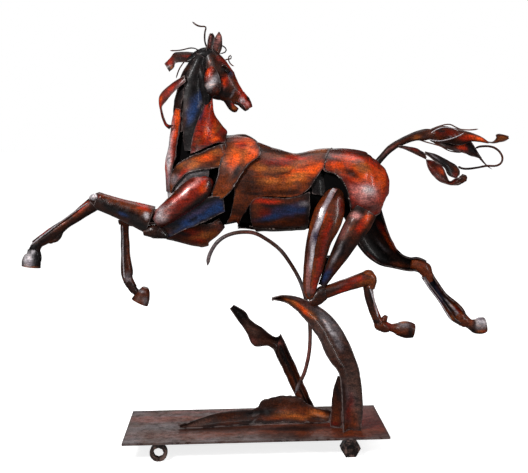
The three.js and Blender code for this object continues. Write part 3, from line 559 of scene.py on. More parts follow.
def lay_out(rows, columns):
    """A flat grid, and how far along it (0 to 1) each of its points is both ways."""
    deselect()
    bpy.ops.mesh.primitive_grid_add(x_subdivisions=rows, y_subdivisions=columns, size=2,
                                    location=(0, 0, 0))
    piece = bpy.context.object
    flat = np.empty(len(piece.data.vertices) * 3)
    piece.data.vertices.foreach_get("co", flat)
    flat = flat.reshape(-1, 3)
    for layer in list(piece.data.uv_layers):
        piece.data.uv_layers.remove(layer)
    return piece, (flat[:, 0] + 1) / 2, (flat[:, 1] + 1) / 2


def set_points(piece, points):
    piece.data.vertices.foreach_set("co", place(points).ravel())
    piece.data.update()


def paint(piece, points, name, rim):
    """Writes the torch's colours and painted highlights on a piece, and how far each point is from a burnt
    rim.
    """
    colours = np.concatenate([torch_and_highlight_colours(points, name), np.ones((len(points), 1))], axis=1)
    layer = piece.data.attributes.new("torch_and_highlight", "FLOAT_COLOR", "POINT")
    layer.data.foreach_set("color", colours.ravel().astype(np.float32))
    layer = piece.data.attributes.new("rim", "FLOAT", "POINT")
    layer.data.foreach_set("value", np.asarray(rim, np.float32))


def apply_modifiers(piece):
    bpy.context.view_layer.objects.active = piece
    piece.select_set(True)
    for modifier in list(piece.modifiers):
        bpy.ops.object.modifier_apply(modifier=modifier.name)


def edit(piece, *steps):
    """Runs edit-mode steps on the whole of a piece."""
    deselect()
    bpy.context.view_layer.objects.active = piece
    piece.select_set(True)
    bpy.ops.object.mode_set(mode="EDIT")
    bpy.ops.mesh.select_all(action="SELECT")
    for step, settings in steps:
        getattr(bpy.ops.mesh, step)(**settings)
    bpy.ops.object.mode_set(mode="OBJECT")


def path_length(points):
    return np.linalg.norm(np.diff(points, axis=0), axis=1).sum()


def sheet_size(surface):
    probe = np.linspace(0, 1, 13)
    lines = [np.full_like(probe, share) for share in (0.1, 0.5, 0.9)]
    long = np.mean([path_length(surface(probe, line)) for line in lines])
    wide = np.mean([path_length(surface(line, probe)) for line in lines])
    return long, wide


def shade(piece):
    deselect()
    piece.select_set(True)
    bpy.context.view_layer.objects.active = piece
    bpy.ops.object.shade_smooth_by_angle(angle=math.radians(50))


def sheet(name, surface, slot, nodes=None, inside=None, tear=(1.5, 1.5, 1.2, 1.2), dent=0.7,
          thick=SHEET, middle=None, curl=0.0, skin=None, paint_as=None):
    """A torn sheet: ragged on its edges, dented, thickened inward (or both ways for a loose strip)."""
    long, wide = sheet_size(surface)
    rows = int(np.clip(long / PITCH, 8, 150))
    columns = int(np.clip(wide / PITCH, 5, 110))
    piece, s, v = lay_out(rows, columns)
    seed = sum(map(ord, name)) % 97
    # Distance of each point from the nearest edge, then how far the tears move it.
    gap = np.minimum(np.minimum(s * long, (1 - s) * long), np.minimum(v * wide, (1 - v) * wide))
    start, end, first, last = tear
    torn_in = np.abs(ragged(v * wide, seed + 1, start)) * (1 - s)
    torn_back = np.abs(ragged(v * wide, seed + 2, end)) * s
    torn_sides = ragged(s * long, seed + 3, first) * (1 - v) - ragged(s * long, seed + 4, last) * v
    s = s + (torn_in - torn_back) / long
    v = v + torn_sides / wide
    points = surface(s, v)
    step = SMALL_STEP / 2
    ds = surface(np.clip(s + step, 0, 1), v) - surface(np.clip(s - step, 0, 1), v)
    dv = surface(s, v + step) - surface(s, v - step)
    normal = unit(np.cross(ds, dv))
    if middle is not None:
        outward = np.sign(np.sum(normal * (points - middle(points)), axis=1).mean())
        normal = normal * outward
    bump = dent * (0.75 * mottle(points, 19, seed) + 0.3 * mottle(points, 7, seed))
    bump = bump + curl * np.exp(-gap / CURL_REACH) * (0.5 + 0.8 * mottle(points, 12, seed + 5))
    points = points + normal * bump[:, None]
    set_points(piece, points)
    # Every seventh face tells whether the sheet was laid out face down.
    faces = piece.data.polygons
    checked = range(0, len(faces), 7)
    if sum(np.dot(faces[k].normal, normal[faces[k].vertices[0]]) for k in checked) < 0:
        edit(piece, ("flip_normals", {}))
    paint(piece, points, paint_as or name, np.clip(gap / RIM_REACH, 0, 1))
    shell = piece.modifiers.new("wall", "SOLIDIFY")
    shell.thickness = thick * MM
    shell.offset = -1 if middle is not None else 0
    shell.material_offset = 1
    shell.material_offset_rim = 2
    apply_modifiers(piece)
    shade(piece)
    return finish_piece(piece, name, nodes if nodes is not None else [name],
                        [skin or SKINS[slot], inside or MILL_SCALE, TORN_EDGE])


def wrapped(name, surface, rows, sides, slot, nodes, skin, dent, paint_as):
    """A closed round body: a bar, a wire, a forged hoof or a blob of weld."""
    piece, s, v = lay_out(rows, sides)
    points = surface(s, v)
    seed = sum(map(ord, name)) % 89
    opposite = surface(s, v + 0.5)
    bump = dent * mottle(points, 5, seed) + 0.5 * dent * mottle(points, 2, seed)
    points = points + unit(points - opposite) * bump[:, None]
    # The last row of points is laid on the first, so that the tube closes.
    near_seam = 0.25 / sides
    first_side = {round(float(share), 5): i for i, share in enumerate(s) if v[i] < near_seam}
    for i in np.nonzero(v > 1 - near_seam)[0]:
        points[i] = points[first_side[round(float(s[i]), 5)]]
    set_points(piece, points)
    paint(piece, points, paint_as, np.ones(len(points)))
    edit(piece, ("remove_doubles", {"threshold": 1e-6}), ("normals_make_consistent", {"inside": False}))
    bpy.ops.object.mode_set(mode="EDIT")
    bpy.ops.mesh.select_all(action="DESELECT")
    bpy.ops.mesh.select_mode(type="EDGE")
    bpy.ops.mesh.select_non_manifold(extend=False)
    bpy.ops.mesh.fill_holes(sides=0)
    bpy.ops.mesh.select_all(action="SELECT")
    bpy.ops.mesh.normals_make_consistent(inside=False)
    bpy.ops.mesh.select_mode(type="VERT")
    bpy.ops.object.mode_set(mode="OBJECT")
    shade(piece)
    return finish_piece(piece, name, nodes, [skin or SKINS[slot]])


ROUTE_STEP = 0.004                             # step that finds which way a bar runs
NEARLY_ACROSS = np.array([0.13, 0.99, 0.07])   # no bar runs exactly this way


def bar_surface(route, radius, swell=None):
    """A round section along a route of points; swell(share of the way) changes its radius."""
    route = np.asarray(route, float)

    def surface(s, v):
        centre = along(route, s)
        ahead, behind = np.minimum(s + ROUTE_STEP, 1), np.maximum(s - ROUTE_STEP, 0)
        run = unit(along(route, ahead) - along(route, behind))
        side = unit(np.cross(run, NEARLY_ACROSS))
        up = np.cross(side, run)
        turn = 2 * np.pi * v
        r = radius if swell is None else radius * swell(s)
        r = np.broadcast_to(r, s.shape)[:, None]
        return centre + r * (side * np.cos(turn)[:, None] + up * np.sin(turn)[:, None])
    return surface


def route_length(route):
    return path_length(along(route, np.linspace(0, 1, 60)))


def tapered(s):
    return np.clip(np.minimum(s, 1 - s) * 30 + 0.25, 0.25, 1)


def bar(name, route, radius, slot="brown", nodes=(), sides=8, skin=None, swell=tapered,
        paint_as="wires", pitch=3.0):
    """A bent bar or wire."""
    rows = int(np.clip(route_length(route) / pitch, 8, 140))
    return wrapped(name, bar_surface(route, radius, swell), rows, sides, slot, nodes, skin, 0.12, paint_as)


def weld(name, route):
    """A run of overlapping weld beads along a seam; the run along the belly's lower edge is a painted
    highlight.
    """
    length = route_length(route)
    beads = max(length / (BEAD * 1.5), 1.0)

    def swell(s):
        bead = 0.78 + 0.3 * np.abs(np.sin(np.pi * s * beads))
        return bead * np.clip(np.minimum(s, 1 - s) * beads * 2 + 0.3, 0.3, 1)
    rows = int(np.clip(length / (BEAD * 0.35), 6, 160))
    return wrapped(name, bar_surface(route, BEAD, swell), rows, 8, "pale", (), SPATTER_AND_HIGHLIGHT, BEAD * 0.18, "weld")


def blob(name, form, slot, nodes=(), skin=None, dent=0.5, paint_as=None, sides=20, rows=16):
    """A closed lump on a form: a hoof, a joint or a black core of painted shade."""
    end = len(form) - 1

    def surface(s, v):
        return form_point(form, s * end, v * ALL_ROUND, 0.0)
    return wrapped(name, surface, rows, sides, slot, nodes, skin, dent, paint_as or name)


# ---------------------------------------------------------------- finishes
def put(tree, kind, feeds=None, **settings):
    """Adds a shader node; each feed is another node's output or a plain value."""
    node = tree.nodes.new(kind)
    for key, value in settings.items():
        setattr(node, key, value)
    for socket, source in (feeds or {}).items():
        if isinstance(source, bpy.types.NodeSocket):
            tree.links.new(source, node.inputs[socket])
        else:
            node.inputs[socket].default_value = source
    return node


def noise(tree, vector, scale, detail=6.0, roughness=0.6, distortion=0.0):
    made = put(tree, "ShaderNodeTexNoise", {"Vector": vector, "Scale": scale, "Detail": detail,
                                            "Roughness": roughness, "Distortion": distortion})
    return made.outputs["Fac"]


def ramp(tree, value, low, high, to_low=0.0, to_high=1.0):
    """Eases from one value to another as a mask goes from low to high."""
    made = put(tree, "ShaderNodeMapRange", {"Value": value, "From Min": low, "From Max": high,
                                            "To Min": to_low, "To Max": to_high},
               interpolation_type="SMOOTHSTEP")
    return made.outputs["Result"]


def maths(tree, operation, a, b):
    return put(tree, "ShaderNodeMath", {0: a, 1: b}, operation=operation).outputs[0]


def times(tree, a, b):
    return maths(tree, "MULTIPLY", a, b)


def plus(tree, a, b):
    return maths(tree, "ADD", a, b)


def blend(tree, share, a, b, kind="MIX"):
    made = put(tree, "ShaderNodeMix", {0: share, 6: a, 7: b}, data_type="RGBA", blend_type=kind)
    return made.outputs[2]


def group(name, inputs, outputs):
    tree = bpy.data.node_groups.new(name, "ShaderNodeTree")
    for label, kind, value in inputs:
        tree.interface.new_socket(name=label, in_out="INPUT", socket_type=kind).default_value = value
    for label, kind in outputs:
        tree.interface.new_socket(name=label, in_out="OUTPUT", socket_type=kind)
    return tree, tree.nodes.new("NodeGroupInput"), tree.nodes.new("NodeGroupOutput")


SOOT_BLACK = (0.012, 0.008, 0.008, 1)
SMEAR_BRIGHT = (1.9, 1.45, 1.25, 1)
SMEAR_DIM = (0.22, 0.16, 0.17, 1)
FLECK_GREY = (0.26, 0.22, 0.22, 1)
BURNT_RIM = (0.02, 0.012, 0.012, 1)
BARE_EDGE = (0.2, 0.15, 0.14, 1)


def scorched_steel():
    """Torch colour and painted highlights, broken up by soot, smears, pits and a bare, burnt rim."""
    tree, feed, give = group(
        "scorched_steel",
        [("Heat_and_highlight", "NodeSocketColor", (0.2, 0.05, 0.02, 1)), ("Rim", "NodeSocketFloat", 1.0),
         ("Soot", "NodeSocketFloat", 0.5), ("Smear", "NodeSocketFloat", 0.5),
         ("Fleck", "NodeSocketFloat", 0.2), ("Bare", "NodeSocketFloat", 0.7),
         ("Matte", "NodeSocketFloat", 0.0)],
        [("Color", "NodeSocketColor"), ("Roughness", "NodeSocketFloat"), ("Height", "NodeSocketFloat")])
    place_at = put(tree, "ShaderNodeTexCoord").outputs["Object"]
    broad = noise(tree, place_at, 34, 7, 0.62, 0.5)
    close = noise(tree, place_at, 130, 6, 0.6)
    fine = noise(tree, place_at, 560, 3, 0.6)
    brushed = put(tree, "ShaderNodeMapping",
                  {"Vector": place_at, "Rotation": (0, -0.35, 0), "Scale": (48, 150, 210)})
    strokes = noise(tree, brushed.outputs["Vector"], 1.0, 6, 0.65, 0.3)
    smoke = plus(tree, times(tree, broad, 0.6), times(tree, close, 0.4))
    soot = times(tree, ramp(tree, smoke, 0.47, 0.6), feed.outputs["Soot"])
    bright = times(tree, ramp(tree, strokes, 0.52, 0.68), feed.outputs["Smear"])
    dim = times(tree, ramp(tree, strokes, 0.48, 0.34), feed.outputs["Smear"])
    colour = blend(tree, times(tree, soot, 0.8), feed.outputs["Heat_and_highlight"], SOOT_BLACK)
    colour = blend(tree, bright, colour, SMEAR_BRIGHT, "MULTIPLY")
    colour = blend(tree, times(tree, dim, 0.85), colour, SMEAR_DIM, "MULTIPLY")
    grit = ramp(tree, fine, 0.38, 0.62, 0.62, 1.3)
    colour = blend(tree, 1.0, colour, grit, "MULTIPLY")
    flecks = times(tree, ramp(tree, fine, 0.6, 0.7), feed.outputs["Fleck"])
    colour = blend(tree, flecks, colour, FLECK_GREY)
    wander = times(tree, maths(tree, "SUBTRACT", close, 0.5), 0.9)
    reach = plus(tree, feed.outputs["Rim"], wander)
    burnt = times(tree, ramp(tree, reach, 0.65, 0.15), feed.outputs["Bare"])
    colour = blend(tree, times(tree, burnt, 0.75), colour, BURNT_RIM)
    bare = times(tree, ramp(tree, reach, 0.1, -0.02), feed.outputs["Bare"])
    colour = blend(tree, bare, colour, BARE_EDGE)
    gloss = plus(tree, ramp(tree, close, 0.35, 0.7, 0.2, 0.42), times(tree, soot, 0.12))
    gloss = plus(tree, gloss, feed.outputs["Matte"])
    height = plus(tree, times(tree, close, 0.7), times(tree, fine, 0.3))
    tree.links.new(colour, give.inputs["Color"])
    tree.links.new(gloss, give.inputs["Roughness"])
    tree.links.new(height, give.inputs["Height"])
    return tree


SCORCHED = scorched_steel()


def new_material(name):
    material = bpy.data.materials.new(name)
    material.use_nodes = True
    return material, material.node_tree, material.node_tree.nodes["Principled BSDF"]


def torched_and_highlighted(name, soot, smear, fleck, bare, matte, shine, lacquer, bump=0.5):
    """Scorched steel under lacquer, in the colours that the torch left on the piece and the highlights
    painted on it.
    """
    material, tree, shader = new_material(name)
    heat_and_highlight = put(tree, "ShaderNodeAttribute", attribute_name="torch_and_highlight", attribute_type="GEOMETRY")
    rim = put(tree, "ShaderNodeAttribute", attribute_name="rim", attribute_type="GEOMETRY")
    made = put(tree, "ShaderNodeGroup", node_tree=SCORCHED)
    amounts = {"Soot": soot, "Smear": smear, "Fleck": fleck, "Bare": bare, "Matte": matte}
    for label, amount in amounts.items():
        made.inputs[label].default_value = amount
    tree.links.new(heat_and_highlight.outputs["Color"], made.inputs["Heat_and_highlight"])
    tree.links.new(rim.outputs["Fac"], made.inputs["Rim"])
    dents = put(tree, "ShaderNodeBump",
                {"Height": made.outputs["Height"], "Strength": bump, "Distance": 0.0009})
    tree.links.new(made.outputs["Color"], shader.inputs["Base Color"])
    tree.links.new(made.outputs["Roughness"], shader.inputs["Roughness"])
    tree.links.new(dents.outputs["Normal"], shader.inputs["Normal"])
    shader.inputs["Metallic"].default_value = 0.1
    shader.inputs["Coat Weight"].default_value = lacquer
    shader.inputs["Coat Roughness"].default_value = 0.14
    shader.inputs["Coat IOR"].default_value = 1.5
    shader.inputs["Specular IOR Level"].default_value = shine
    return material


def two_tone(name, dark, light, scale, low, high, rough, metal=0.0, coat=0.0):
    """Two colours in patches, for inner faces, torn edges, beads and bars."""
    material, tree, shader = new_material(name)
    place_at = put(tree, "ShaderNodeTexCoord").outputs["Object"]
    patches = noise(tree, place_at, scale, 6, 0.65, 0.4)
    pits = noise(tree, place_at, 480, 3)
    share = ramp(tree, plus(tree, times(tree, patches, 0.75), times(tree, pits, 0.25)), low, high)
    tree.links.new(blend(tree, share, (*dark, 1), (*light, 1)), shader.inputs["Base Color"])
    tree.links.new(ramp(tree, patches, 0.3, 0.7, rough[0], rough[1]), shader.inputs["Roughness"])
    dents = put(tree, "ShaderNodeBump", {"Height": pits, "Strength": 0.3, "Distance": 0.0006})
    tree.links.new(dents.outputs["Normal"], shader.inputs["Normal"])
    shader.inputs["Metallic"].default_value = metal
    shader.inputs["Coat Weight"].default_value = coat
    return material


SKINS = {
    "rust": torched_and_highlighted("rust_patina", 0.5, 0.8, 0.04, 0.8, matte=0.12, shine=0.22, lacquer=0.14),
    "orange": torched_and_highlighted("orange_flare_patina", 0.35, 0.8, 0.04, 0.9, matte=0.14, shine=0.2, lacquer=0.1),
    "red": torched_and_highlighted("red_patina", 0.45, 0.8, 0.05, 0.8, matte=0.02, shine=0.4, lacquer=0.35),
    "dark": torched_and_highlighted("mill_black_patina", 0.4, 0.6, 0.1, 0.6, matte=0.2, shine=0.2, lacquer=0.1),
    "blue": torched_and_highlighted("heat_blue_patina", 0.35, 0.8, 0.06, 0.8, matte=0.04, shine=0.35, lacquer=0.3),
    "brown": torched_and_highlighted("brown_patina", 0.5, 0.75, 0.08, 0.7, matte=0.1, shine=0.3, lacquer=0.2),
    "pale": torched_and_highlighted("brushed_grey_patina", 0.5, 0.7, 0.3, 0.4, matte=0.05, shine=0.4, lacquer=0.25),
}
STIPPLE = torched_and_highlighted("stippled_cheek", 0.5, 0.8, 0.8, 0.4, matte=0.1, shine=0.25, lacquer=0.12, bump=0.9)
SHEEN = torched_and_highlighted("lilac_sheen", 0.08, 0.25, 0.02, 0.0, matte=-0.12, shine=0.7, lacquer=0.8, bump=0.12)
PLATE_SKIN = torched_and_highlighted("plate_patina", 0.5, 0.5, 0.06, 0.5, matte=0.22, shine=0.3, lacquer=0.06)
MILL_SCALE = two_tone("mill_scale", (0.006, 0.005, 0.006), (0.03, 0.016, 0.012), 60, 0.45, 0.7,
                      (0.45, 0.65))
TORN_EDGE = two_tone("torn_edge", (0.012, 0.008, 0.007), (0.4, 0.34, 0.33), 70, 0.53, 0.66,
                     (0.3, 0.5), metal=0.3)
WELD_BEAD = two_tone("weld_bead", (0.012, 0.007, 0.006), (0.13, 0.08, 0.065), 160, 0.45, 0.66,
                     (0.25, 0.45), metal=0.3, coat=0.5)
SPATTER_AND_HIGHLIGHT = two_tone("spatter_and_highlight", (0.02, 0.01, 0.008), (0.55, 0.42, 0.38), 210, 0.52, 0.64,
                   (0.25, 0.45), metal=0.2)
FOOT_STEEL = two_tone("foot_steel", (0.012, 0.006, 0.005), (0.2, 0.12, 0.1), 130, 0.46, 0.62,
                      (0.25, 0.45), metal=0.2, coat=0.5)
# Near-black cores inside the body: painted shade for the gaps.
SHADE_CORE_SKIN = two_tone("painted_shade_core", (0.0015, 0.0012, 0.0014), (0.006, 0.004, 0.004), 50, 0.5, 0.7,
                  (0.8, 0.95))
SHADE_CORE_SKIN.node_tree.nodes["Principled BSDF"].inputs["Specular IOR Level"].default_value = 0.1


# ---------------------------------------------------------------- the shapes, in millimetres
# Rows of three numbers are points of an edge or a route; rows of five are sections of a form;
# rows of two are places on a form: how far along it, and the angle.
leaf_front = [[x, y, ON_PLATE + 1] for x, y in [
    [-105, -16], [-83.5, -20.5], [-60.5, -17.5], [-41.5, -14], [-18, -10.5], [-6.5, -10],
    [5, -8.5], [18.5, -7], [36, -7.5], [51.5, -7.5], [67, -8.5], [79, -9.5],
    [90.5, -9.5], [103.5, -6.5],
]]
leaf_crest = [[x, y, ON_PLATE + z] for x, y, z in [
    [-105, -22, 5.5], [-80, -10, 10], [-57, -2, 15], [-37.5, 2, 17.5], [-6, 5, 18], [3.5, 6, 21.5],
    [10, 8, 29.5], [22, 9, 33.5], [39.5, 10, 34.5], [55, 10, 34], [67, 10, 29.5],
    [75.5, 8, 21.5], [90, 2, 18], [105, -6, 16.5],
]]
tusk_outer = [
    [141, -47, ON_PLATE], [144, -47, 62], [140.5, -47, 103], [133.5, -46, 128], [123, -46, 153.5],
    [107, -45, 178.5], [86, -44, 197], [61, -43, 209], [40, -42, 212.5], [24, -41, 209.5],
]
tusk_inner = [
    [117, -54, ON_PLATE], [115.5, -54, 66], [112, -53, 106], [99, -52, 126], [88, -51, 150],
    [75, -49, 171], [63, -48, 186], [51, -46, 197.5], [38, -44, 204.5], [23.5, -42, 207.5],
]
gusset_left = [[102, -26, ON_PLATE], [104, -28, 56], [106, -30, 78], [112, -33, 100]]
gusset_right = [[117, -33, ON_PLATE], [118, -34, 58], [117, -35, 80], [116, -36, 99]]
post_left = [
    [73, 15, ON_PLATE], [55.5, 15, 65], [41.5, 15, 96.5], [27, 15, 128],
]
post_right = [
    [91, 15, ON_PLATE], [82, 15, 46.5], [60, 15, 98], [37.5, 15, 149.5],
]
blade_low = [
    [31, 16, 124.5], [20, 15, 132.5], [1, 14, 133], [-9.5, 14, 152], [-19.5, 14, 167.5],
    [-31.5, 14, 186.5],
]
blade_high = [
    [39.5, 17, 146.5], [29, 15, 144.5], [10.5, 14, 158.5], [-3, 14, 168.5], [-12, 14, 181.5],
    [-26.5, 14, 190.5],
]
trunk = [
    [-108, 0, 350, 20, 16], [-92, 0, 350, 42, 28], [-60, 0, 350, 57, 36], [-20, 0, 358.5, 60.5, 42],
    [20, 0, 351.5, 57, 45], [60, 0, 347.5, 52, 44], [100, 0, 352, 53, 42], [135, 0, 354, 50, 46],
    [150, 0, 352, 46.8, 45], [161, 0, 351, 43, 42], [170, 0, 351, 37.5, 37], [177, 0, 351, 30, 31],
    [182, 0, 350.5, 21.5, 21], [185.5, 0, 350, 12, 12], [187, 0, 350, 4, 4],
]
blade = {
    "front": [[2.78, 2], [2.85, 28], [2.77, 47], [2.62, 66], [2.45, 79], [2.24, 89], [2.17, 96]],
    "back": [[3.12, 2], [3.4, 22], [3.54, 45], [3.3, 61], [3.05, 82], [2.78, 95], [2.42, 102]],
}
barrel = {
    "front": [[3, 1], [3, 28], [2.97, 55], [2.93, 75], [2.92, 90], [2.88, 103], [2.6, 125], [2.36, 141]],
    "back": [
        [6.31, 1], [6.08, 34], [5.93, 58], [5.55, 77], [5.0, 93.5], [3.8, 99.5], [3.42, 128],
        [3.24, 148],
    ],
}
belly = {
    "front": [[3.55, 112], [3.72, 101.5], [4.2, 98.5], [4.8, 96], [5.4, 90]],
    "back": [[3.95, 179], [4.2, 179], [4.5, 179], [4.8, 179], [5.2, 179]],
}
rump = {
    "front": [[6.36, 1], [6.13, 34], [5.98, 60], [6.34, 70], [6.62, 88], [6.74, 110], [6.84, 132]],
    "back": [[13.9, 3], [13.9, 40], [13.9, 80], [13.9, 120], [12.8, 165], [11.4, 168], [9.6, 150]],
}
far_barrel = {
    "front": [[3, 359], [2.95, 310], [2.92, 264]],
    "back": [[6.28, 359], [6.28, 310], [6.28, 264]],
}
far_belly = {
    "front": [[2.95, 261], [4.5, 261], [6.4, 261]],
    "back": [[3.25, 181], [4.5, 181], [6, 181]],
}
far_rump = {
    "front": [[6.34, 359], [6.34, 310], [6.34, 280], [6.5, 262], [6.7, 245], [6.8, 230]],
    "back": mirrored(rump["back"]),
}
keel = [
    [-117, 0, 296, 10, 14], [-98, 0, 298, 18, 22], [-76, 0, 300.3, 25.5, 26],
    [-70, 0, 301, 28, 27], [-65, 0, 302.5, 25.5, 26.4], [-55, 0, 305, 18.5, 24], [-42, 0, 312, 12, 17],
]
neck = [
    [-58, 0, 345, 54, 36], [-62, 0, 372, 50.5, 37], [-66, -1, 400, 46.5, 33], [-72, -3, 430, 34, 28],
    [-78.5, -5, 460, 24, 23], [-77, -7, 490, 18.5, 18], [-69, -8, 515, 14, 15], [-61, -8, 533, 10, 10],
]
throat_left = [
    [-58, -17, 475], [-62, -24, 460], [-68, -31, 447], [-73, -36, 434], [-77, -40, 419], [-79, -42, 402],
]
throat_right = [
    [-54, -6, 473], [-49, -5, 457], [-42, -5, 444.5], [-36, -5, 436], [-31, -8, 429], [-34, -24, 415],
]
panel_front = [
    [2.38, 61], [2.8, 59], [3.24, 59], [3.7, 61], [4.1, 63], [4.84, 66], [5.74, 62], [6.85, 58],
]
panel_back = [
    [2.3, 84], [2.76, 90], [3.26, 98], [3.6, 112], [4, 128], [4.6, 138], [5.5, 134], [6.75, 130],
]
crest_front = [[3.2, -22], [4, -22], [5, -22], [6.8, -22]]
crest_back = [[3.2, 56], [4.1, 60], [4.9, 63], [6.85, 54]]
neck_far_front = [[1, 322], [2, 326], [3, 330], [4, 334], [5, 334], [6.8, 334]]
neck_far_back = [[1.05, 256], [2, 250], [3, 188], [4, 186], [5, 226], [6.6, 240]]
strip_front = [[4.12, 44], [3.8, 28], [3.3, 6], [2.6, -14], [1.9, -26], [1.2, -32], [0.5, -24]]
strip_back = [[4.08, 60], [3.7, 57], [3.29, 51], [2.63, 47], [2, 43], [1.46, 38], [0.5, 36]]
apron_high = [[1.6, -30], [1.6, 20], [1.5, 70], [1.4, 100]]
apron_low = [[0.0, -30], [-0.3, 20], [-0.45, 60], [-0.3, 85]]
collar_high = [
    [2.32, 136], [2.3, 119], [2.22, 97], [2.12, 79], [1.99, 66], [1.77, 51], [1.35, 40], [0.85, 33],
]
collar_low = [[1.34, 122], [1.36, 107], [1.37, 93], [1.36, 79], [1.3, 67], [1.06, 55], [0.75, 44],
              [0.42, 35]]
head = [
    [-55, -8, 534, 10, 9], [-46, -8, 515, 17.5, 14], [-39.5, -8, 498, 22, 16],
    [-29.5, -8, 485.5, 18.5, 13],
    [-17, -8, 474.5, 11.9, 9.5], [-7.5, -8, 465, 9.2, 8.2], [-3.5, -8, 457.5, 6.8, 6.4],
]
face_near = [[0.02, 110], [1.2, 140], [2.2, 150], [3.2, 158], [3.9, 158], [4.5, 132], [5.2, 118],
             [5.8, 112]]
cheek_front = [[0.85, 96], [1.3, 88], [2, 88], [2.65, 106], [2.8, 140]]
cheek_back = [[0.95, 118], [1.35, 140], [1.97, 158], [2.4, 168], [2.62, 166]]
muzzle_near = [[4.1, 44], [4.15, 80], [4.4, 112], [5.0, 124], [5.85, 110]]
jaw = [
    [-51, -8, 479, 4, 8], [-42, -8, 477, 4.5, 8], [-34, -8, 476, 4.5, 7.5], [-28, -8, 471, 5.5, 7],
    [-23, -8, 465, 6.5, 6.5], [-18.5, -8, 461, 6, 5.5], [-15.5, -8, 459, 3, 3.5],
]
ear_near_left = [[-58, -15, 530], [-55.5, -17, 540], [-53.5, -18, 550], [-52, -18, 556],
                 [-49.5, -17, 558.5]]
ear_near_right = [[-48, -15, 528], [-47.5, -14, 540], [-45, -15, 550], [-45.5, -16, 555],
                  [-48, -17, 558.5]]
ear_far_left = [[-52, -9, 529], [-51, -7, 538], [-48.5, -4, 546], [-44.5, -2, 554], [-40, 0, 560.5]]
ear_far_right = [[-41, -8, 529], [-36.5, -5, 538], [-35.5, -3, 547], [-36, -2, 555], [-38.5, 0, 560.5]]
mane_high = [
    [-62.5, -6, 534], [-71.5, -5, 534.5], [-80.5, -4, 535.5], [-90, -4, 535.5], [-98.5, -4, 534.5],
    [-103.5, -5, 529], [-108, -6, 524.5], [-112.5, -7, 520],
]
mane_low = [
    [-63, -11, 526.5], [-70, -11, 524], [-77.5, -12, 521.5], [-85, -13, 521.5], [-93, -13, 522],
    [-97.5, -13, 520], [-99.5, -12, 515], [-106, -11, 509.5],
]
side_outer = [
    [-85, -25, 504], [-93.5, -23, 499], [-102, -20, 494], [-112.5, -18, 486], [-119, -16, 478],
    [-120, -15, 469], [-118.5, -14, 459], [-116.5, -15, 448.5], [-112.5, -17, 439], [-107, -19, 434],
]
side_inner = [
    [-83.5, -28, 496], [-91, -27, 489.5], [-100.5, -25, 481], [-108.5, -22, 472.5],
    [-114, -20, 466.5], [-116.5, -19, 462.5], [-115.5, -19, 456.5], [-113, -20, 447.5],
    [-109, -22, 440.5], [-100.5, -23, 439.5],
]
forelock = [
    [-55, -9, 539.5], [-58, -10, 548], [-58, -11, 559], [-56.5, -12, 567], [-64, -13, 568],
    [-69, -13, 570], [-74, -12, 574],
]
stem = [
    [170, 0, 383, 4.5, 5], [178, 0, 392, 4.5, 5], [189, 1, 403, 5, 5], [203, 2, 411.5, 5, 5],
    [222, 3, 419, 6, 5],
    [238, 4, 421.5, 8, 6], [250, 5, 423.5, 5, 4], [258, 6, 425, 2, 2.5],
]
upper_high = [
    [236, 3, 423.5], [242.5, 2, 427], [249.5, 2, 430.5], [261.5, 2, 433], [275.5, 2, 430.5],
    [289.5, 3, 426.5], [303.5, 4, 422.5], [316, 5, 416.5], [324.5, 6, 410],
]
upper_low = [
    [237, 6, 417], [245, 8, 414.5], [253, 9, 412], [264, 10, 410.5], [275, 10, 408.5],
    [287.5, 10, 407], [301, 8, 411.5], [312.5, 7, 411], [325, 6, 409],
]
curl_high = [
    [321, 8, 411.5], [329.5, 8, 409.5], [334.5, 8, 412.5], [336.5, 6, 416.5], [335, 5, 419.5],
    [339, 5, 421], [346, 5, 419.5], [352, 4, 417.5],
]
curl_low = [
    [321.5, 9, 410], [330, 9, 408.5], [336.5, 9, 408.5], [341, 9, 409.5], [344, 9, 410],
    [347.5, 9, 410.5], [351, 8, 412], [354, 7, 414.5],
]
lower_high = [
    [200, -4, 407], [206.5, -4, 407], [216.5, -5, 405.5], [224.5, -5, 403.5], [230, -5, 400],
    [235, -6, 396.5], [237, -7, 390.5],
]
lower_low = [
    [200, -4, 405.5], [207.5, -5, 403], [217, -6, 398.5], [223.5, -7, 395], [229, -7, 392.5],
    [234, -7, 390], [237, -7, 388.5],
]
leaf_inner = [
    [236, -11, 388], [244, -11, 387], [253, -11, 383.5], [259.5, -12, 376.5], [262.5, -13, 369],
    [267.5, -13, 359], [274.5, -12, 362], [282, -11, 363.5],
]
leaf_outer = [
    [236.5, -11, 386.5], [238.5, -12, 377.5], [243.5, -14, 368.5], [249, -15, 362], [258, -15, 356.5],
    [270, -14, 353], [279.5, -12, 354.5], [287, -10, 359.5],
]
under_high = [
    [245, 5, 414.5], [256.5, 6, 415], [269, 8, 416], [281, 9, 417.5], [293, 9, 415.5],
    [301, 8, 411.5], [307, 7, 403], [311.5, 6, 394.5], [315.5, 5, 388.5],
]
under_low = [
    [247.5, 6, 412.5], [256, 10, 407.5], [267.5, 12, 402.5], [278, 12, 399], [288, 12, 397],
    [296.5, 11, 394], [303, 9, 391.5], [309.5, 7, 389.5], [315, 5, 388],
]
fold_high = [
    [236, -3, 399], [248.5, -4, 396], [260, -5, 390.5], [271.5, -6, 384], [278.5, -7, 379],
    [283, -7, 372], [282, -7, 366],
]
fold_low = [
    [236.5, -8, 395.5], [245.5, -9, 388], [255, -10, 381.5], [262, -10, 375.5], [265.5, -9, 368],
    [271.5, -8, 364], [279.5, -7, 362],
]
loop = [
    [281, -5, 378], [286, -4, 375.5], [294.5, -3, 374.5], [308.5, -2, 376], [320.5, -2, 378],
    [334, -2, 378], [341, -2, 382.5], [342, -2, 390.5], [336.5, -1, 399], [327, 0, 404],
    [313.5, 2, 404.5], [306.5, 4, 402],
]
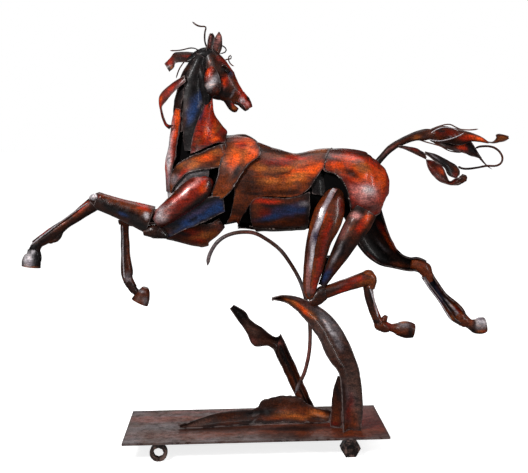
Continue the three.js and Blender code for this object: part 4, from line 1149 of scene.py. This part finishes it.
legs = {
    "upper_arm_near": [
        [-127, -36, 312, 9, 9], [-118, -36, 319, 12.5, 12], [-100, -37, 333, 15.5, 14],
        [-82, -37, 346.5, 17.5, 15], [-68, -37, 357, 17, 13], [-61, -36, 364, 13, 10],
        [-58, -34, 370, 7, 6],
    ],
    "forearm_near": [
        [-205, -34, 343, 12, 9], [-180, -34, 333.5, 13, 11], [-155, -34, 324, 16, 12],
        [-134, -34, 315.5, 19, 13],
    ],
    "cannon_near": [
        [-287, -33, 285, 6.5, 6], [-266, -33, 297.5, 8.5, 6.5], [-247, -33, 311, 6.5, 6],
        [-228, -33, 323.5, 7.5, 7], [-208, -33, 338, 9.5, 8],
    ],
    "upper_arm_far": [[-116, 30, 318, 15, 11], [-96, 30, 331, 17, 12], [-76, 29, 344, 15, 11]],
    "forearm_far": [
        [-184, 29, 313, 9, 8], [-172, 29, 315, 12, 10], [-150, 29, 313, 14, 12],
        [-128, 29, 310, 15, 12],
    ],
    "cannon_far": [
        [-166, 28, 215, 6, 6], [-173, 28, 229, 7, 7], [-174, 28, 240, 8.5, 7.5],
        [-175, 28, 262, 6.5, 6.5], [-175, 28, 285, 5.5, 6], [-175, 28, 301, 6, 6.5],
        [-173, 28, 313, 7, 7],
    ],
    "thigh_front_near": [
        [76, -41, 207.5, 6, 7], [75, -42, 222, 9.5, 11], [80, -42, 250, 13.5, 12],
        [88, -41, 285, 17, 13], [100.5, -39, 316, 20, 13], [108.5, -34, 337, 16, 10],
        [112.5, -30, 348, 11, 7], [115, -28, 356, 5, 4],
    ],
    "thigh_rear_near": [
        [92, -40, 223, 4, 6], [102, -40, 243, 8, 9], [117, -39, 269, 12.5, 12], [133, -38, 295, 16, 13],
        [143, -37, 310, 17.5, 12], [151, -35, 323, 16, 9],
    ],
    "gaskin_near": [
        [86, -39, 212, 7.5, 8], [99, -39, 216, 8.5, 9], [120, -38, 223, 8.5, 10],
        [140, -37, 229, 9.5, 10], [152, -37, 232, 10, 9], [158, -37, 233, 8, 8],
    ],
    "cannon_hind_near": [
        [169, -36, 167, 6.5, 6.5], [165, -36, 177, 6.3, 6.5], [159.5, -36, 191, 6.3, 6.5],
        [155.5, -36, 206, 6.3, 6.5], [153.5, -36, 217, 7, 7], [153, -36, 226, 7.5, 7],
    ],
    "thigh_far": [
        [148, 25, 335, 30, 14], [157, 28, 312, 26.5, 12], [169, 32, 281, 24, 15],
        [186, 34, 257.5, 19.5, 13],
        [205, 34, 245.5, 12, 10], [221, 34, 240.5, 10, 9], [232, 34, 240, 10.5, 9],
        [242, 34, 236, 10, 9],
    ],
    "cannon_hind_far": [
        [246, 34, 225.5, 8.5, 8], [254.5, 34, 212, 8, 7.5], [268.5, 34, 193, 8, 8],
        [281, 34, 178, 11, 9], [290, 34, 167, 12, 9.5], [297.5, 34, 158, 8.5, 8],
    ],
}
hooves = {
    "hoof_fore_near": [
        [-293, -33, 256, 12.5, 9.5], [-292, -33, 263, 12.5, 10], [-289, -33, 271, 10.5, 8.5],
        [-289, -33, 279.5, 7.5, 6.5],
    ],
    "hoof_fore_far": [
        [-149, 28, 216, 4.5, 7], [-151, 28, 209.5, 8.5, 10], [-154, 28, 202, 11, 11],
        [-157.5, 28, 195, 12.5, 11.5],
    ],
    "hoof_hind_near": [
        [175.5, -36, 168, 5.5, 5], [183.5, -36, 164.5, 5.5, 6], [189.5, -36, 163.5, 7, 8],
        [194.5, -36, 162.5, 9.5, 10], [203, -36, 161.5, 11.5, 11.5], [209.5, -36, 160.5, 11, 11.5],
        [214.5, -36, 159.5, 9.5, 10.5],
    ],
    "hoof_hind_far": [
        [299.5, 34, 155, 5, 6.5], [306.5, 34, 153.5, 6.5, 8], [311.5, 34, 151.5, 8.5, 9.5],
        [316.5, 34, 150, 11, 11], [322.5, 34, 150, 12, 11.5], [327.5, 34, 151, 11.5, 11.5],
        [330.5, 34, 151.5, 10.5, 10.5],
    ],
}
guard_high = [
    [-125, -38, 302.5], [-114.5, -39, 314.5], [-99.5, -40, 324], [-84.5, -41, 332], [-69.5, -41, 339],
    [-54.5, -42, 345], [-37.5, -41, 345.5],
]
guard_low = [
    [-120.5, -33, 290], [-108, -35, 293], [-94.5, -37, 300], [-79.5, -38, 305.5], [-64.5, -39, 311.5],
    [-51, -39, 317.5], [-35.5, -38, 325],
]
web_left = [
    [100, -30, 263.5], [96, -30, 251.5], [91.5, -30, 238], [87, -30, 223.5],
]
web_right = [
    [109.5, -32, 263.5], [107.5, -32, 251.5], [104, -32, 238], [100, -32, 225.5],
]
thigh_highlight_front = [[0.4, 62], [1.5, 48], [2.5, 40], [3.5, 44], [4.6, 48], [6.2, 52]]
thigh_highlight_back = [[0.4, 84], [1.5, 82], [2.5, 76], [3.5, 72], [4.6, 74], [6.2, 86]]
hip_left = [[70, -33, 372], [78, -36, 362], [80, -37, 346]]
hip_right = [[95, -28, 372], [97, -31, 360], [96, -33, 343]]
groove = [[36, 8, 136], [43, 6.5, 118.5], [51.5, 6.5, 98.5], [61, 7, 76], [73, 9, 51]]
rod_route = [
    [-61, 250], [-58, 264], [-50, 278], [-40, 287], [-27, 292.5], [-12, 294.5], [4, 292.5], [21, 283],
    [38, 269], [51, 251], [64, 227], [72, 200], [77, 165], [76, 130], [70, 102], [63, 86], [56, 70],
]


# ---------------------------------------------------------------- the trunk
trunk_core = core_of(trunk)
sheet("barrel_near", on_form(trunk, barrel["front"], barrel["back"]), "rust", middle=trunk_core, dent=1.1,
      tear=(0.5, 2.0, 1.6, 1.8))
sheet("belly_near", on_form(trunk, belly["front"], belly["back"], 0.4), "brown", middle=trunk_core,
      dent=1.3, tear=(2.0, 2.0, 1.2, 0.6), curl=0.8)
sheet("rump_near", on_form(trunk, rump["front"], rump["back"]), "red", middle=trunk_core, dent=1.0,
      tear=(0.5, 2.0, 1.4, 1.0))
sheet("shoulder_blade_near", on_form(trunk, blade["front"], blade["back"], 4.0), "orange",
      middle=trunk_core, dent=1.4, tear=(1.0, 2.0, 2.0, 2.2), curl=1.0)
sheet("barrel_far", on_form(trunk, far_barrel["front"], far_barrel["back"]), "rust",
      middle=trunk_core, dent=1.1)
sheet("belly_far", on_form(trunk, far_belly["front"], far_belly["back"]), "brown",
      middle=trunk_core, dent=1.2)
sheet("rump_far", on_form(trunk, far_rump["front"], far_rump["back"]), "red",
      middle=trunk_core, dent=1.0)
sheet("shoulder_blade_far", on_form(trunk, mirrored(blade["front"]), mirrored(blade["back"]), 6.9),
      "orange", middle=trunk_core, dent=1.4, curl=1.0)
sheet("chest_keel", round_form(keel, 78, 282), "rust", middle=core_of(keel), dent=1.0,
      tear=(1.5, 1.5, 1.5, 1.5))


# ---------------------------------------------------------------- the neck
neck_core = core_of(neck)
sheet("neck_throat_near", between(throat_left, throat_right, 7.0), "red", middle=neck_core, dent=0.8,
      tear=(0.4, 1.0, 0.8, 0.5), curl=0.4)
sheet("neck_panel_near", on_form(neck, panel_front, panel_back), "dark", middle=neck_core, dent=1.4)
sheet("neck_crest", on_form(neck, crest_front, crest_back), "dark", middle=neck_core, dent=1.3)
sheet("neck_far", on_form(neck, neck_far_front, neck_far_back), "dark", middle=neck_core, dent=1.2)
sheet("breast_strip", on_form(neck, strip_front, strip_back, 3.2), "red", middle=neck_core, dent=1.2,
      tear=(1.5, 1.5, 0.8, 2.0), curl=0.6)
sheet("chest_apron", on_form(neck, apron_high, apron_low, 1.5), "pale", nodes=[], middle=neck_core,
      dent=1.0)
sheet("collar_near", on_form(neck, collar_high, collar_low, 5.5), "orange", middle=neck_core, dent=1.0,
      tear=(1.0, 1.0, 1.8, 1.4), curl=0.8)


# ---------------------------------------------------------------- the head
CHEEK_EDGE, CHEEK_CROWN = 3.2, 8.2    # how far the cheek stands off the head at its rim and middle
head_core = core_of(head)
sheet("face_plate", on_form(head, across_top(face_near), face_near), "rust", middle=head_core, dent=0.7,
      tear=(0.5, 0.6, 0.6, 0.6))


def domed(front, back):
    """The cheek's disc, fullest in its middle."""
    flat = on_form(head, front, back, CHEEK_EDGE)
    high = on_form(head, front, back, CHEEK_CROWN)

    def surface(s, v):
        rise = np.sin(np.pi * s) * np.sin(np.pi * np.clip(v, 0, 1))
        return flat(s, v) * (1 - rise)[:, None] + high(s, v) * rise[:, None]
    return surface


sheet("cheek_near", domed(cheek_front, cheek_back), "pale", middle=head_core, dent=0.7,
      tear=(0.8, 0.8, 0.7, 0.5), skin=STIPPLE)
sheet("cheek_far", domed(mirrored(cheek_front), mirrored(cheek_back)), "dark", middle=head_core, dent=0.7)
sheet("muzzle", on_form(head, across_top(muzzle_near), muzzle_near, 1.0), "pale", middle=head_core,
      dent=0.5, tear=(0.5, 0.5, 0.5, 0.5), skin=STIPPLE)
sheet("lower_jaw", round_form(jaw, 75, 285, 1.0), "rust", middle=core_of(jaw), dent=0.4,
      tear=(0.4, 0.4, 0.5, 0.5))
for name, left, right, crown in (("ear_near", ear_near_left, ear_near_right, 3.0),
                                 ("ear_far", ear_far_left, ear_far_right, -3.0)):
    sheet(name, between(left, right, crown), "rust", dent=0.2, thick=THIN, tear=(0.2, 0.5, 0.3, 0.3))


# ---------------------------------------------------------------- mane and tail
bar("forelock_wire", forelock, WIRE, nodes=["forelock_wire"])
bar("tail_loop_wire", loop, WIRE * 1.35, nodes=["tail_loop_wire"])
sheet("tail_stem", round_form(stem, -60, 260), "rust", middle=core_of(stem), dent=0.5,
      tear=(0.5, 0.5, 0.6, 0.6))
# Both edges, crown, finish, dents and torn edges.
LEAVES = {
    "mane_top_strip": (mane_high, mane_low, 1.5, "dark", 0.5, (0.5, 1.5, 0.9, 0.9)),
    "mane_side_ribbon": (side_outer, side_inner, 1.0, "rust", 0.4, (0.8, 0.6, 0.5, 0.5)),
    "tail_upper_leaf": (upper_high, upper_low, -3.0, "rust", 0.6, (0.3, 0.3, 0.6, 0.6)),
    "tail_under_leaf": (under_high, under_low, 4.0, "orange", 0.6, (0.3, 0.3, 0.5, 0.8)),
    "tail_fold": (fold_high, fold_low, 2.0, "dark", 0.6, (0.3, 0.3, 0.5, 0.5)),
    "tail_curl": (curl_high, curl_low, 1.0, "orange", 0.4, (0.5, 1.0, 0.5, 0.5)),
    "tail_lower_strip": (lower_high, lower_low, 1.5, "dark", 0.5, (0.3, 0.6, 0.7, 0.7)),
    "tail_lower_leaf": (leaf_inner, leaf_outer, 3.0, "rust", 0.6, (0.4, 0.6, 0.7, 0.8)),
}
# These stand for no part of the plain model.
EXTRA_LEAVES = ("tail_under_leaf", "tail_fold")
for name, (high_edge, low_edge, crown, slot, dent, tear) in LEAVES.items():
    sheet(name, between(high_edge, low_edge, crown), slot, nodes=[] if name in EXTRA_LEAVES else None,
          dent=dent, thick=THIN, tear=tear)


# ---------------------------------------------------------------- the legs
# Each leg piece is rolled from one angle to another round its form.
WRAP = {
    "upper_arm_near": (-95, 250, "red"), "forearm_near": (-100, 245, "red"),
    "cannon_near": (-90, 220, "rust"), "upper_arm_far": (95, 440, "brown"),
    "forearm_far": (105, 440, "brown"), "cannon_far": (-80, 260, "brown"),
    "thigh_front_near": (-60, 280, "red"), "thigh_rear_near": (-35, 205, "rust"),
    "gaskin_near": (-80, 262, "brown"), "cannon_hind_near": (-60, 280, "brown"),
    "thigh_far": (150, 385, "dark"), "cannon_hind_far": (120, 400, "blue"),
}
SOOTED_INSIDE = ("thigh_far", "cannon_hind_far")
for name, form in legs.items():
    start, finish, slot = WRAP[name]
    inside = SKINS["dark"] if name in SOOTED_INSIDE else None
    sheet(name, round_form(form, start, finish), slot, middle=core_of(form), dent=0.8, inside=inside,
          tear=(1.2, 1.2, 0.9, 0.9))
for name, form in hooves.items():
    slot = "pale" if name == "hoof_fore_near" else "brown"
    blob(name, form, slot, nodes=[name], skin=SKINS["dark"], dent=0.4)
sheet("elbow_guard", between(guard_high, guard_low, 2.0), "blue", dent=0.6, tear=(1.0, 1.0, 0.6, 0.8))
thigh = legs["thigh_front_near"]
# A thin sheet of pale lilac sheen down the near thigh's front: a painted highlight.
sheet("thigh_strip", on_form(thigh, thigh_highlight_front, thigh_highlight_back, 0.9), "pale", nodes=[],
      middle=core_of(thigh), dent=0.3, thick=THIN, tear=(0.8, 0.8, 0.8, 0.8), skin=SHEEN)
sheet("stifle_web", between(web_left, web_right, 1.0), "dark", nodes=[], dent=0.4, thick=THIN)
# A black sheet set in the hip opening: painted shade where the opening lies dark.
sheet("hip_panel", between(hip_left, hip_right, 2.0), "dark", nodes=[], dent=1.0, paint_as="soot")

# Thin runs of weld and spatter along the seams, and one pale run along the belly's lower edge that is a
# painted highlight.
SEAMS_AND_BELLY_HIGHLIGHT = {
    # seam_belly_low: a pale run along the belly's lower edge, a painted highlight.
    "seam_belly_low": (trunk, [[3.7, 150], [4.2, 154], [4.7, 156], [5.1, 156]], 1.2),
    "seam_rump": (trunk, rump["front"], 0.3), "seam_blade_back": (trunk, blade["back"], 3.6),
    "seam_blade_front": (trunk, blade["front"], 3.8), "seam_collar_high": (neck, collar_high, 5.2),
    "seam_collar_low": (neck, collar_low, 5.0), "seam_belly_end": (trunk, belly["back"], 0.2),
}
for name, (form, edge, lift) in SEAMS_AND_BELLY_HIGHLIGHT.items():
    weld(name, edge_of(form, edge, lift))

# Black cores inside the forms, painted shade seen through the gaps, each so far inside its form.
SHADE_CORES = {
    "trunk_lining": (trunk, 9), "neck_lining": (neck, 7), "head_lining": (head, 4),
    "keel_lining": (keel, 6),
}
for name, (form, inward) in SHADE_CORES.items():
    shrunk = [[x, y, z, max(a - inward, 2), max(b - inward, 2)] for x, y, z, a, b in form]
    blob(name, shrunk, "dark", skin=SHADE_CORE_SKIN, paint_as="plain_steel", dent=0.0, sides=28, rows=30)

# Knees, fetlocks and the other joints, built up in weld and scrap.
JOINTS = {
    "tail_knob": ([[273.5, -9, 354, 2, 2.5], [280.5, -9, 357, 4, 3], [286.5, -9, 361.5, 5.5, 3.5],
                   [288.5, -9, 367, 3.5, 3]], "rust"),
    "poll": ([[-80, -8, 521, 6, 7], [-68, -8, 528, 9, 9], [-55, -8, 530, 11, 10],
              [-44, -8, 524, 9, 9]], "dark"),
    "throat_latch": ([[-66, -8, 523, 9, 13], [-62, -9, 503, 11, 15], [-59, -9, 487, 11, 15],
                      [-58, -9, 475, 9, 13], [-60, -9, 462, 7, 12]], "dark"),
    "mouth": ([[-19.5, -13, 469, 1, 5], [-15, -14, 466.5, 2, 6], [-10.5, -14, 462.5, 2.5, 6],
               [-6.5, -13, 457.5, 1.5, 4]], "dark"),
    "eye_near": ([[-32.5, -20, 510.5, 1, 2], [-30, -21, 508.5, 2.5, 3],
                  [-27.5, -20, 506.5, 1, 2]], "dark"),
    "eye_far": ([[-32.5, 4, 510.5, 1, 2], [-30, 5, 508.5, 2.5, 3], [-27.5, 4, 506.5, 1, 2]], "dark"),
    "nostril_near": ([[-4, -15, 475.5, 1, 2], [-2, -15, 473, 1.5, 2.5], [-1, -14, 470, 1, 2]], "dark"),
    "nostril_far": ([[-3.5, -1, 476, 1, 2], [-2, -1, 473.5, 1.5, 2.5], [-1, -2, 470.5, 1, 2]], "dark"),
    "elbow_near": ([[-143, -36, 300, 5, 7], [-132, -37, 301, 9, 9], [-121, -37, 298, 8, 8],
                    [-112, -37, 293, 3, 4]], "blue"),
    "knee_near": ([[-211, -34, 338, 5, 6], [-206, -34, 343, 7, 7], [-200, -34, 345, 7.5, 7.5],
                   [-193, -34, 343, 7, 7]], "brown"),
    "knee_cap": ([[-211.5, -39, 345.5, 2.5, 3], [-206.5, -41, 347, 5, 4],
                  [-202.5, -40, 347, 3, 3]], "pale"),
    "pastern_near": ([[-289, -33, 270, 8, 7], [-287.5, -33, 278, 7.5, 7], [-283, -33, 285, 6.5, 6.5],
                      [-276, -33, 291, 6, 6]], "dark"),
    "spur_near": ([[-268, -33, 291, 3, 4], [-264, -33, 290.5, 4, 4], [-258, -33, 293.5, 4, 4],
                   [-251, -33, 301, 2.5, 3]], "brown"),
    "fetlock_far": ([[-159.5, 28, 207.5, 4.5, 6], [-165.5, 28, 213.5, 6, 7], [-170, 28, 221, 6.5, 7],
                     [-173, 28, 227, 7, 7]], "brown"),
    "hock_far": ([[224, 34, 240, 6, 5.5], [234, 34, 238.5, 8, 7.5], [243, 34, 233, 9.5, 8.5],
                  [248, 34, 224, 7.5, 7], [251, 34, 215, 5, 5]], "brown"),
    "fetlock_hind_far": ([[292, 34, 166, 7, 7], [297, 34, 160, 9, 8], [303, 34, 156, 8, 8],
                          [309, 34, 154, 5, 6]], "brown"),
    "stifle_near": ([[74, -41, 203, 5, 7], [82, -41, 206, 9.5, 9], [92, -40, 214, 10, 9],
                     [100, -40, 219, 5, 6]], "brown"),
    "hock_near": ([[146, -37, 232, 8, 8], [154, -37, 234, 9, 8], [158, -37, 229, 7, 8],
                   [155.5, -37, 219, 6.5, 7]], "brown"),
    "fetlock_hind_near": ([[167, -36, 176, 5, 6], [169, -36, 169, 8, 7.5], [175, -36, 165, 7, 7],
                           [182, -36, 163, 5, 5]], "brown"),
    "spur_hind_near": ([[171, -36, 170, 4, 4], [175, -36, 176, 4, 4],
                        [178, -36, 181, 2.5, 2.5]], "rust"),
}
PAINTS = {"hock_far": "rusty_joint", "fetlock_hind_far": "rusty_joint", "hock_near": "rusty_joint",
          "knee_cap": "bright_steel_and_highlight"}
for name in ("fetlock_far", "mouth", "eye_near", "eye_far", "nostril_near", "nostril_far",
             "pastern_near", "poll", "throat_latch"):
    PAINTS[name] = "soot"
for name, (form, slot) in JOINTS.items():
    on_face = name.split("_")[0] in ("eye", "nostril", "mouth")
    blob(name, form, slot, paint_as=PAINTS.get(name, "plain_steel"), dent=0.2 if on_face else 0.9,
         sides=18)

# Painted highlights: thin bars of pale sheen along the cannons and the tail's upper leaf.
GLINTS = {
    "tail_rim_high": [[243, 0.5, 422.5], [253, 0.5, 428.5], [262.5, 0.5, 431], [274, 1, 430],
                      [282.5, 1.5, 426]],
    "tail_rim_low": [[236.5, 2.5, 418], [248, 2.5, 413.5], [259, 2, 413], [272.5, 2, 415.5],
                     [283.5, 2, 419.5], [291, 2.5, 423.5]],
    "glint_cannon_near": [[-292, -38, 284.5], [-279.5, -39, 294.5], [-267, -40, 303.5],
                          [-245, -40, 319.5], [-226, -40, 332.5], [-214, -40, 340]],
    "glint_cannon_hind": [[153.5, -43, 224], [156.5, -43, 214.5], [160, -43, 202.5],
                          [163.5, -43, 190], [165.5, -42, 180.5]],
    "glint_cannon_far": edge_of(legs["cannon_far"], [[1.2, 66], [2, 66], [3, 64], [4, 64],
                                                     [5.2, 66]], 0.1),
    "glint_cannon_hind_far": edge_of(legs["cannon_hind_far"], [[0.2, 150], [1, 150], [2, 150],
                                                               [3, 152], [4, 155]], 0.1),
}
for name, route in GLINTS.items():
    bar(name, route, 0.6 if name.startswith("tail") else 0.9, skin=SHEEN, paint_as="bright_steel_and_highlight", sides=6)

# Loose wires of mane and tail.
WIRES = {
    "crest_wire": [[-55, -12, 528], [-63, -12, 533], [-70, -12, 539], [-78, -12, 540],
                   [-87, -12, 538], [-96, -12, 537], [-104, -12, 537]],
    "hanging_wire": [[-80, -12, 526], [-86, -12, 522], [-93, -12, 512], [-97, -12, 501]],
    "ear_wire": [[-42, -4, 545], [-38, -4, 544], [-33, -4, 542], [-30, -4, 538], [-33, -4, 534],
                 [-40, -4, 533]],
    "curl_wire": [[-34, -8, 524], [-28, -8, 525], [-24, -8, 526], [-24, -9, 530], [-27, -9, 528],
                  [-27, -9, 523], [-24, -8, 518], [-20, -8, 516]],
    "upper_tail_wire": [[238, 5, 424], [245, 6, 428], [258, 6, 433], [271, 6, 435], [280, 6, 431],
                        [287, 6, 428], [300, 6, 427], [311, 6, 428]],
    "lower_tail_wire": [[225, 1, 416], [240, 0, 411], [257, 0, 406], [268, 0, 400], [275, 0, 398],
                        [285, 0, 397], [289, 0, 400]],
}
for name, route in WIRES.items():
    bar(name, route, WIRE * 0.8, sides=7)
brow = [[-38, -21, 513], [-34.5, -22, 516], [-31, -22, 515], [-27.5, -20, 511], [-26, -18, 507.5]]
bar("brow_near", brow, 1.5)
bar("brow_far", [[x, -16 - y, z] for x, y, z in brow], 1.5)
bar("tail_spike", [[308, 4, 396], [313, 4, 389], [318, 4, 383], [324, 4, 377], [330, 4, 373]], 2.0,
    swell=lambda s: 1.05 - 0.9 * s)


# ---------------------------------------------------------------- the base
PLATE_LONG, PLATE_DEEP = 353, 152
deselect()
bpy.ops.mesh.primitive_cube_add(size=1, location=(0, 0, 0))
plate = bpy.context.object
edit(plate, ("subdivide", {"number_cuts": 60}))
corners = np.empty(len(plate.data.vertices) * 3)
plate.data.vertices.foreach_get("co", corners)
corners = corners.reshape(-1, 3) + 0.5
low, high = np.array(plate_low), np.array(plate_high)
points = (low + corners * (high - low) - MIDDLE) / MM
for layer in list(plate.data.uv_layers):
    plate.data.uv_layers.remove(layer)
border = np.minimum(np.minimum(corners[:, 0], 1 - corners[:, 0]) * PLATE_LONG,
                    np.minimum(corners[:, 1], 1 - corners[:, 1]) * PLATE_DEEP)
set_points(plate, points)
# The plate's colours lie flat: its depth takes the place of a height.
paint(plate, points[:, [0, 2, 1]], "base_plate", np.clip(border / RIM_REACH, 0, 1))
finish_piece(plate, "base_plate_sheet", ["base_plate"], [PLATE_SKIN])

sheet("ground_leaf", between(leaf_front, leaf_crest, -5.0), "brown", dent=1.0, tear=(1.0, 1.5, 1.0, 1.6))
sheet("tusk_support", between(tusk_outer, tusk_inner, -9.0), "brown", dent=0.7, tear=(0.5, 1.0, 0.3, 1.4))
sheet("tusk_gusset", between(gusset_left, gusset_right), "dark", dent=0.5)
sheet("channel_post", between(post_left, post_right, 8.0), "dark", dent=0.5)
sheet("post_blade", between(blade_low, blade_high, 6.0), "dark", dent=0.8)
bar("support_rod", [[x, -8, z] for x, z in rod_route], ROD, nodes=["support_rod"], sides=14, pitch=2.5,
    paint_as="support_rod")
bar("post_groove", groove, 1.3, "dark", paint_as="soot")
NUT_BORE = 7.2        # radius of the weld that fills a foot nut, in millimetres
PLUG_INSET = 0.004    # how far the weld stays inside the nut's faces, in metres
for name in ("foot_nut_front", "foot_nut_back"):
    corners = np.array(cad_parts[name].bound_box)
    centre = (corners.min(axis=0) + corners.max(axis=0)) / 2
    reach = (corners.max(axis=0) - corners.min(axis=0))[1] / 2 - PLUG_INSET
    ends = (np.array([centre - (0, reach, 0), centre, centre + (0, reach, 0)]) - MIDDLE) / MM
    bar(name + "_plug", ends, NUT_BORE, skin=WELD_BEAD, sides=14, swell=None)
for name in ("foot_nut_front", "foot_nut_back", "foot_ring_front", "foot_ring_back"):
    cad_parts[name].data.materials.clear()
    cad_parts[name].data.materials.append(FOOT_STEEL)


# ---------------------------------------------------------------- floor, light and camera
# The floor shows pale but throws little light back up, so that the horse stays dark beneath.
WHITE, FLOOR_PALE, FLOOR_DIM = (1, 1, 1, 1), (0.9, 0.9, 0.9, 1), (0.14, 0.14, 0.14, 1)
deselect()
bpy.ops.mesh.primitive_plane_add(size=60, location=(0, 0, 0))
floor = bpy.context.object
floor.name = "pale_floor"
floor_skin, floor_tree, floor_shader = new_material("pale_floor")
in_view = put(floor_tree, "ShaderNodeLightPath").outputs["Is Camera Ray"]
floor_tree.links.new(blend(floor_tree, in_view, FLOOR_DIM, FLOOR_PALE), floor_shader.inputs["Base Color"])
floor_shader.inputs["Roughness"].default_value = 0.9
floor_shader.inputs["Emission Color"].default_value = WHITE
floor_tree.links.new(times(floor_tree, in_view, 0.8), floor_shader.inputs["Emission Strength"])
floor.data.materials.append(floor_skin)

world = bpy.data.worlds.new("studio")
bpy.context.scene.world = world
world.use_nodes = True
sky = world.node_tree
backdrop = sky.nodes["Background"]
seen = put(sky, "ShaderNodeLightPath").outputs["Is Camera Ray"]
glossy = put(sky, "ShaderNodeLightPath").outputs["Is Glossy Ray"]
fill = ramp(sky, glossy, 0.0, 1.0, 0.3, 0.02)
backdrop.inputs["Color"].default_value = WHITE
sky.links.new(maths(sky, "MAXIMUM", seen, fill), backdrop.inputs["Strength"])


def stood_at(side, up, back, location):
    """The turn and place of a lamp or camera, from its own three directions."""
    rows = [[side[k], up[k], back[k], location[k]] for k in range(3)]
    return Matrix(rows + [[0, 0, 0, 1]])


def soft_box(name, size, power, location, target):
    light = bpy.data.lights.new(name, "AREA")
    light.shape = "RECTANGLE"
    light.size, light.size_y = size
    light.energy = power
    lamp = bpy.data.objects.new(name, light)
    bpy.context.collection.objects.link(lamp)
    aim = np.array(target) - np.array(location)
    back = unit(-aim)
    side = unit(np.cross([0, 0, 1.0], back))
    up = np.cross(back, side)
    lamp.matrix_world = stood_at(side, up, back, location)


soft_box("key_box", (0.3, 0.45), 19.5, (-0.8, -1.1, 1.15), (0, 0, 0.33))
soft_box("top_box", (1.1, 0.5), 4.5, (0.1, 0.1, 1.5), (0, 0, 0.3))
soft_box("right_strip", (0.12, 0.9), 6, (1.2, -0.9, 0.7), (0, 0, 0.3))
soft_box("back_fill", (1.2, 0.8), 6, (-0.3, 1.6, 1.0), (0, 0, 0.3))

EYE = (-26.44, -1309.2, 423.9)                    # millimetres
YAW, TILT, ROLL = 0.0327, -0.1041, -0.0156        # radians
LENS, FILM_WIDTH = 65.95, 36
forward = np.array([math.sin(YAW) * math.cos(TILT), math.cos(YAW) * math.cos(TILT), math.sin(TILT)])
level = np.array([math.cos(YAW), -math.sin(YAW), 0.0])
upright = np.cross(level, forward)
right = math.cos(ROLL) * level + math.sin(ROLL) * upright
top = -math.sin(ROLL) * level + math.cos(ROLL) * upright
camera = bpy.data.objects.new("camera", bpy.data.cameras.new("camera"))
bpy.context.collection.objects.link(camera)
camera.data.lens = LENS
camera.data.sensor_width = FILM_WIDTH
camera.matrix_world = stood_at(right, top, -forward, place(EYE))
bpy.context.scene.camera = camera
bpy.context.scene.view_settings.view_transform = "Standard"
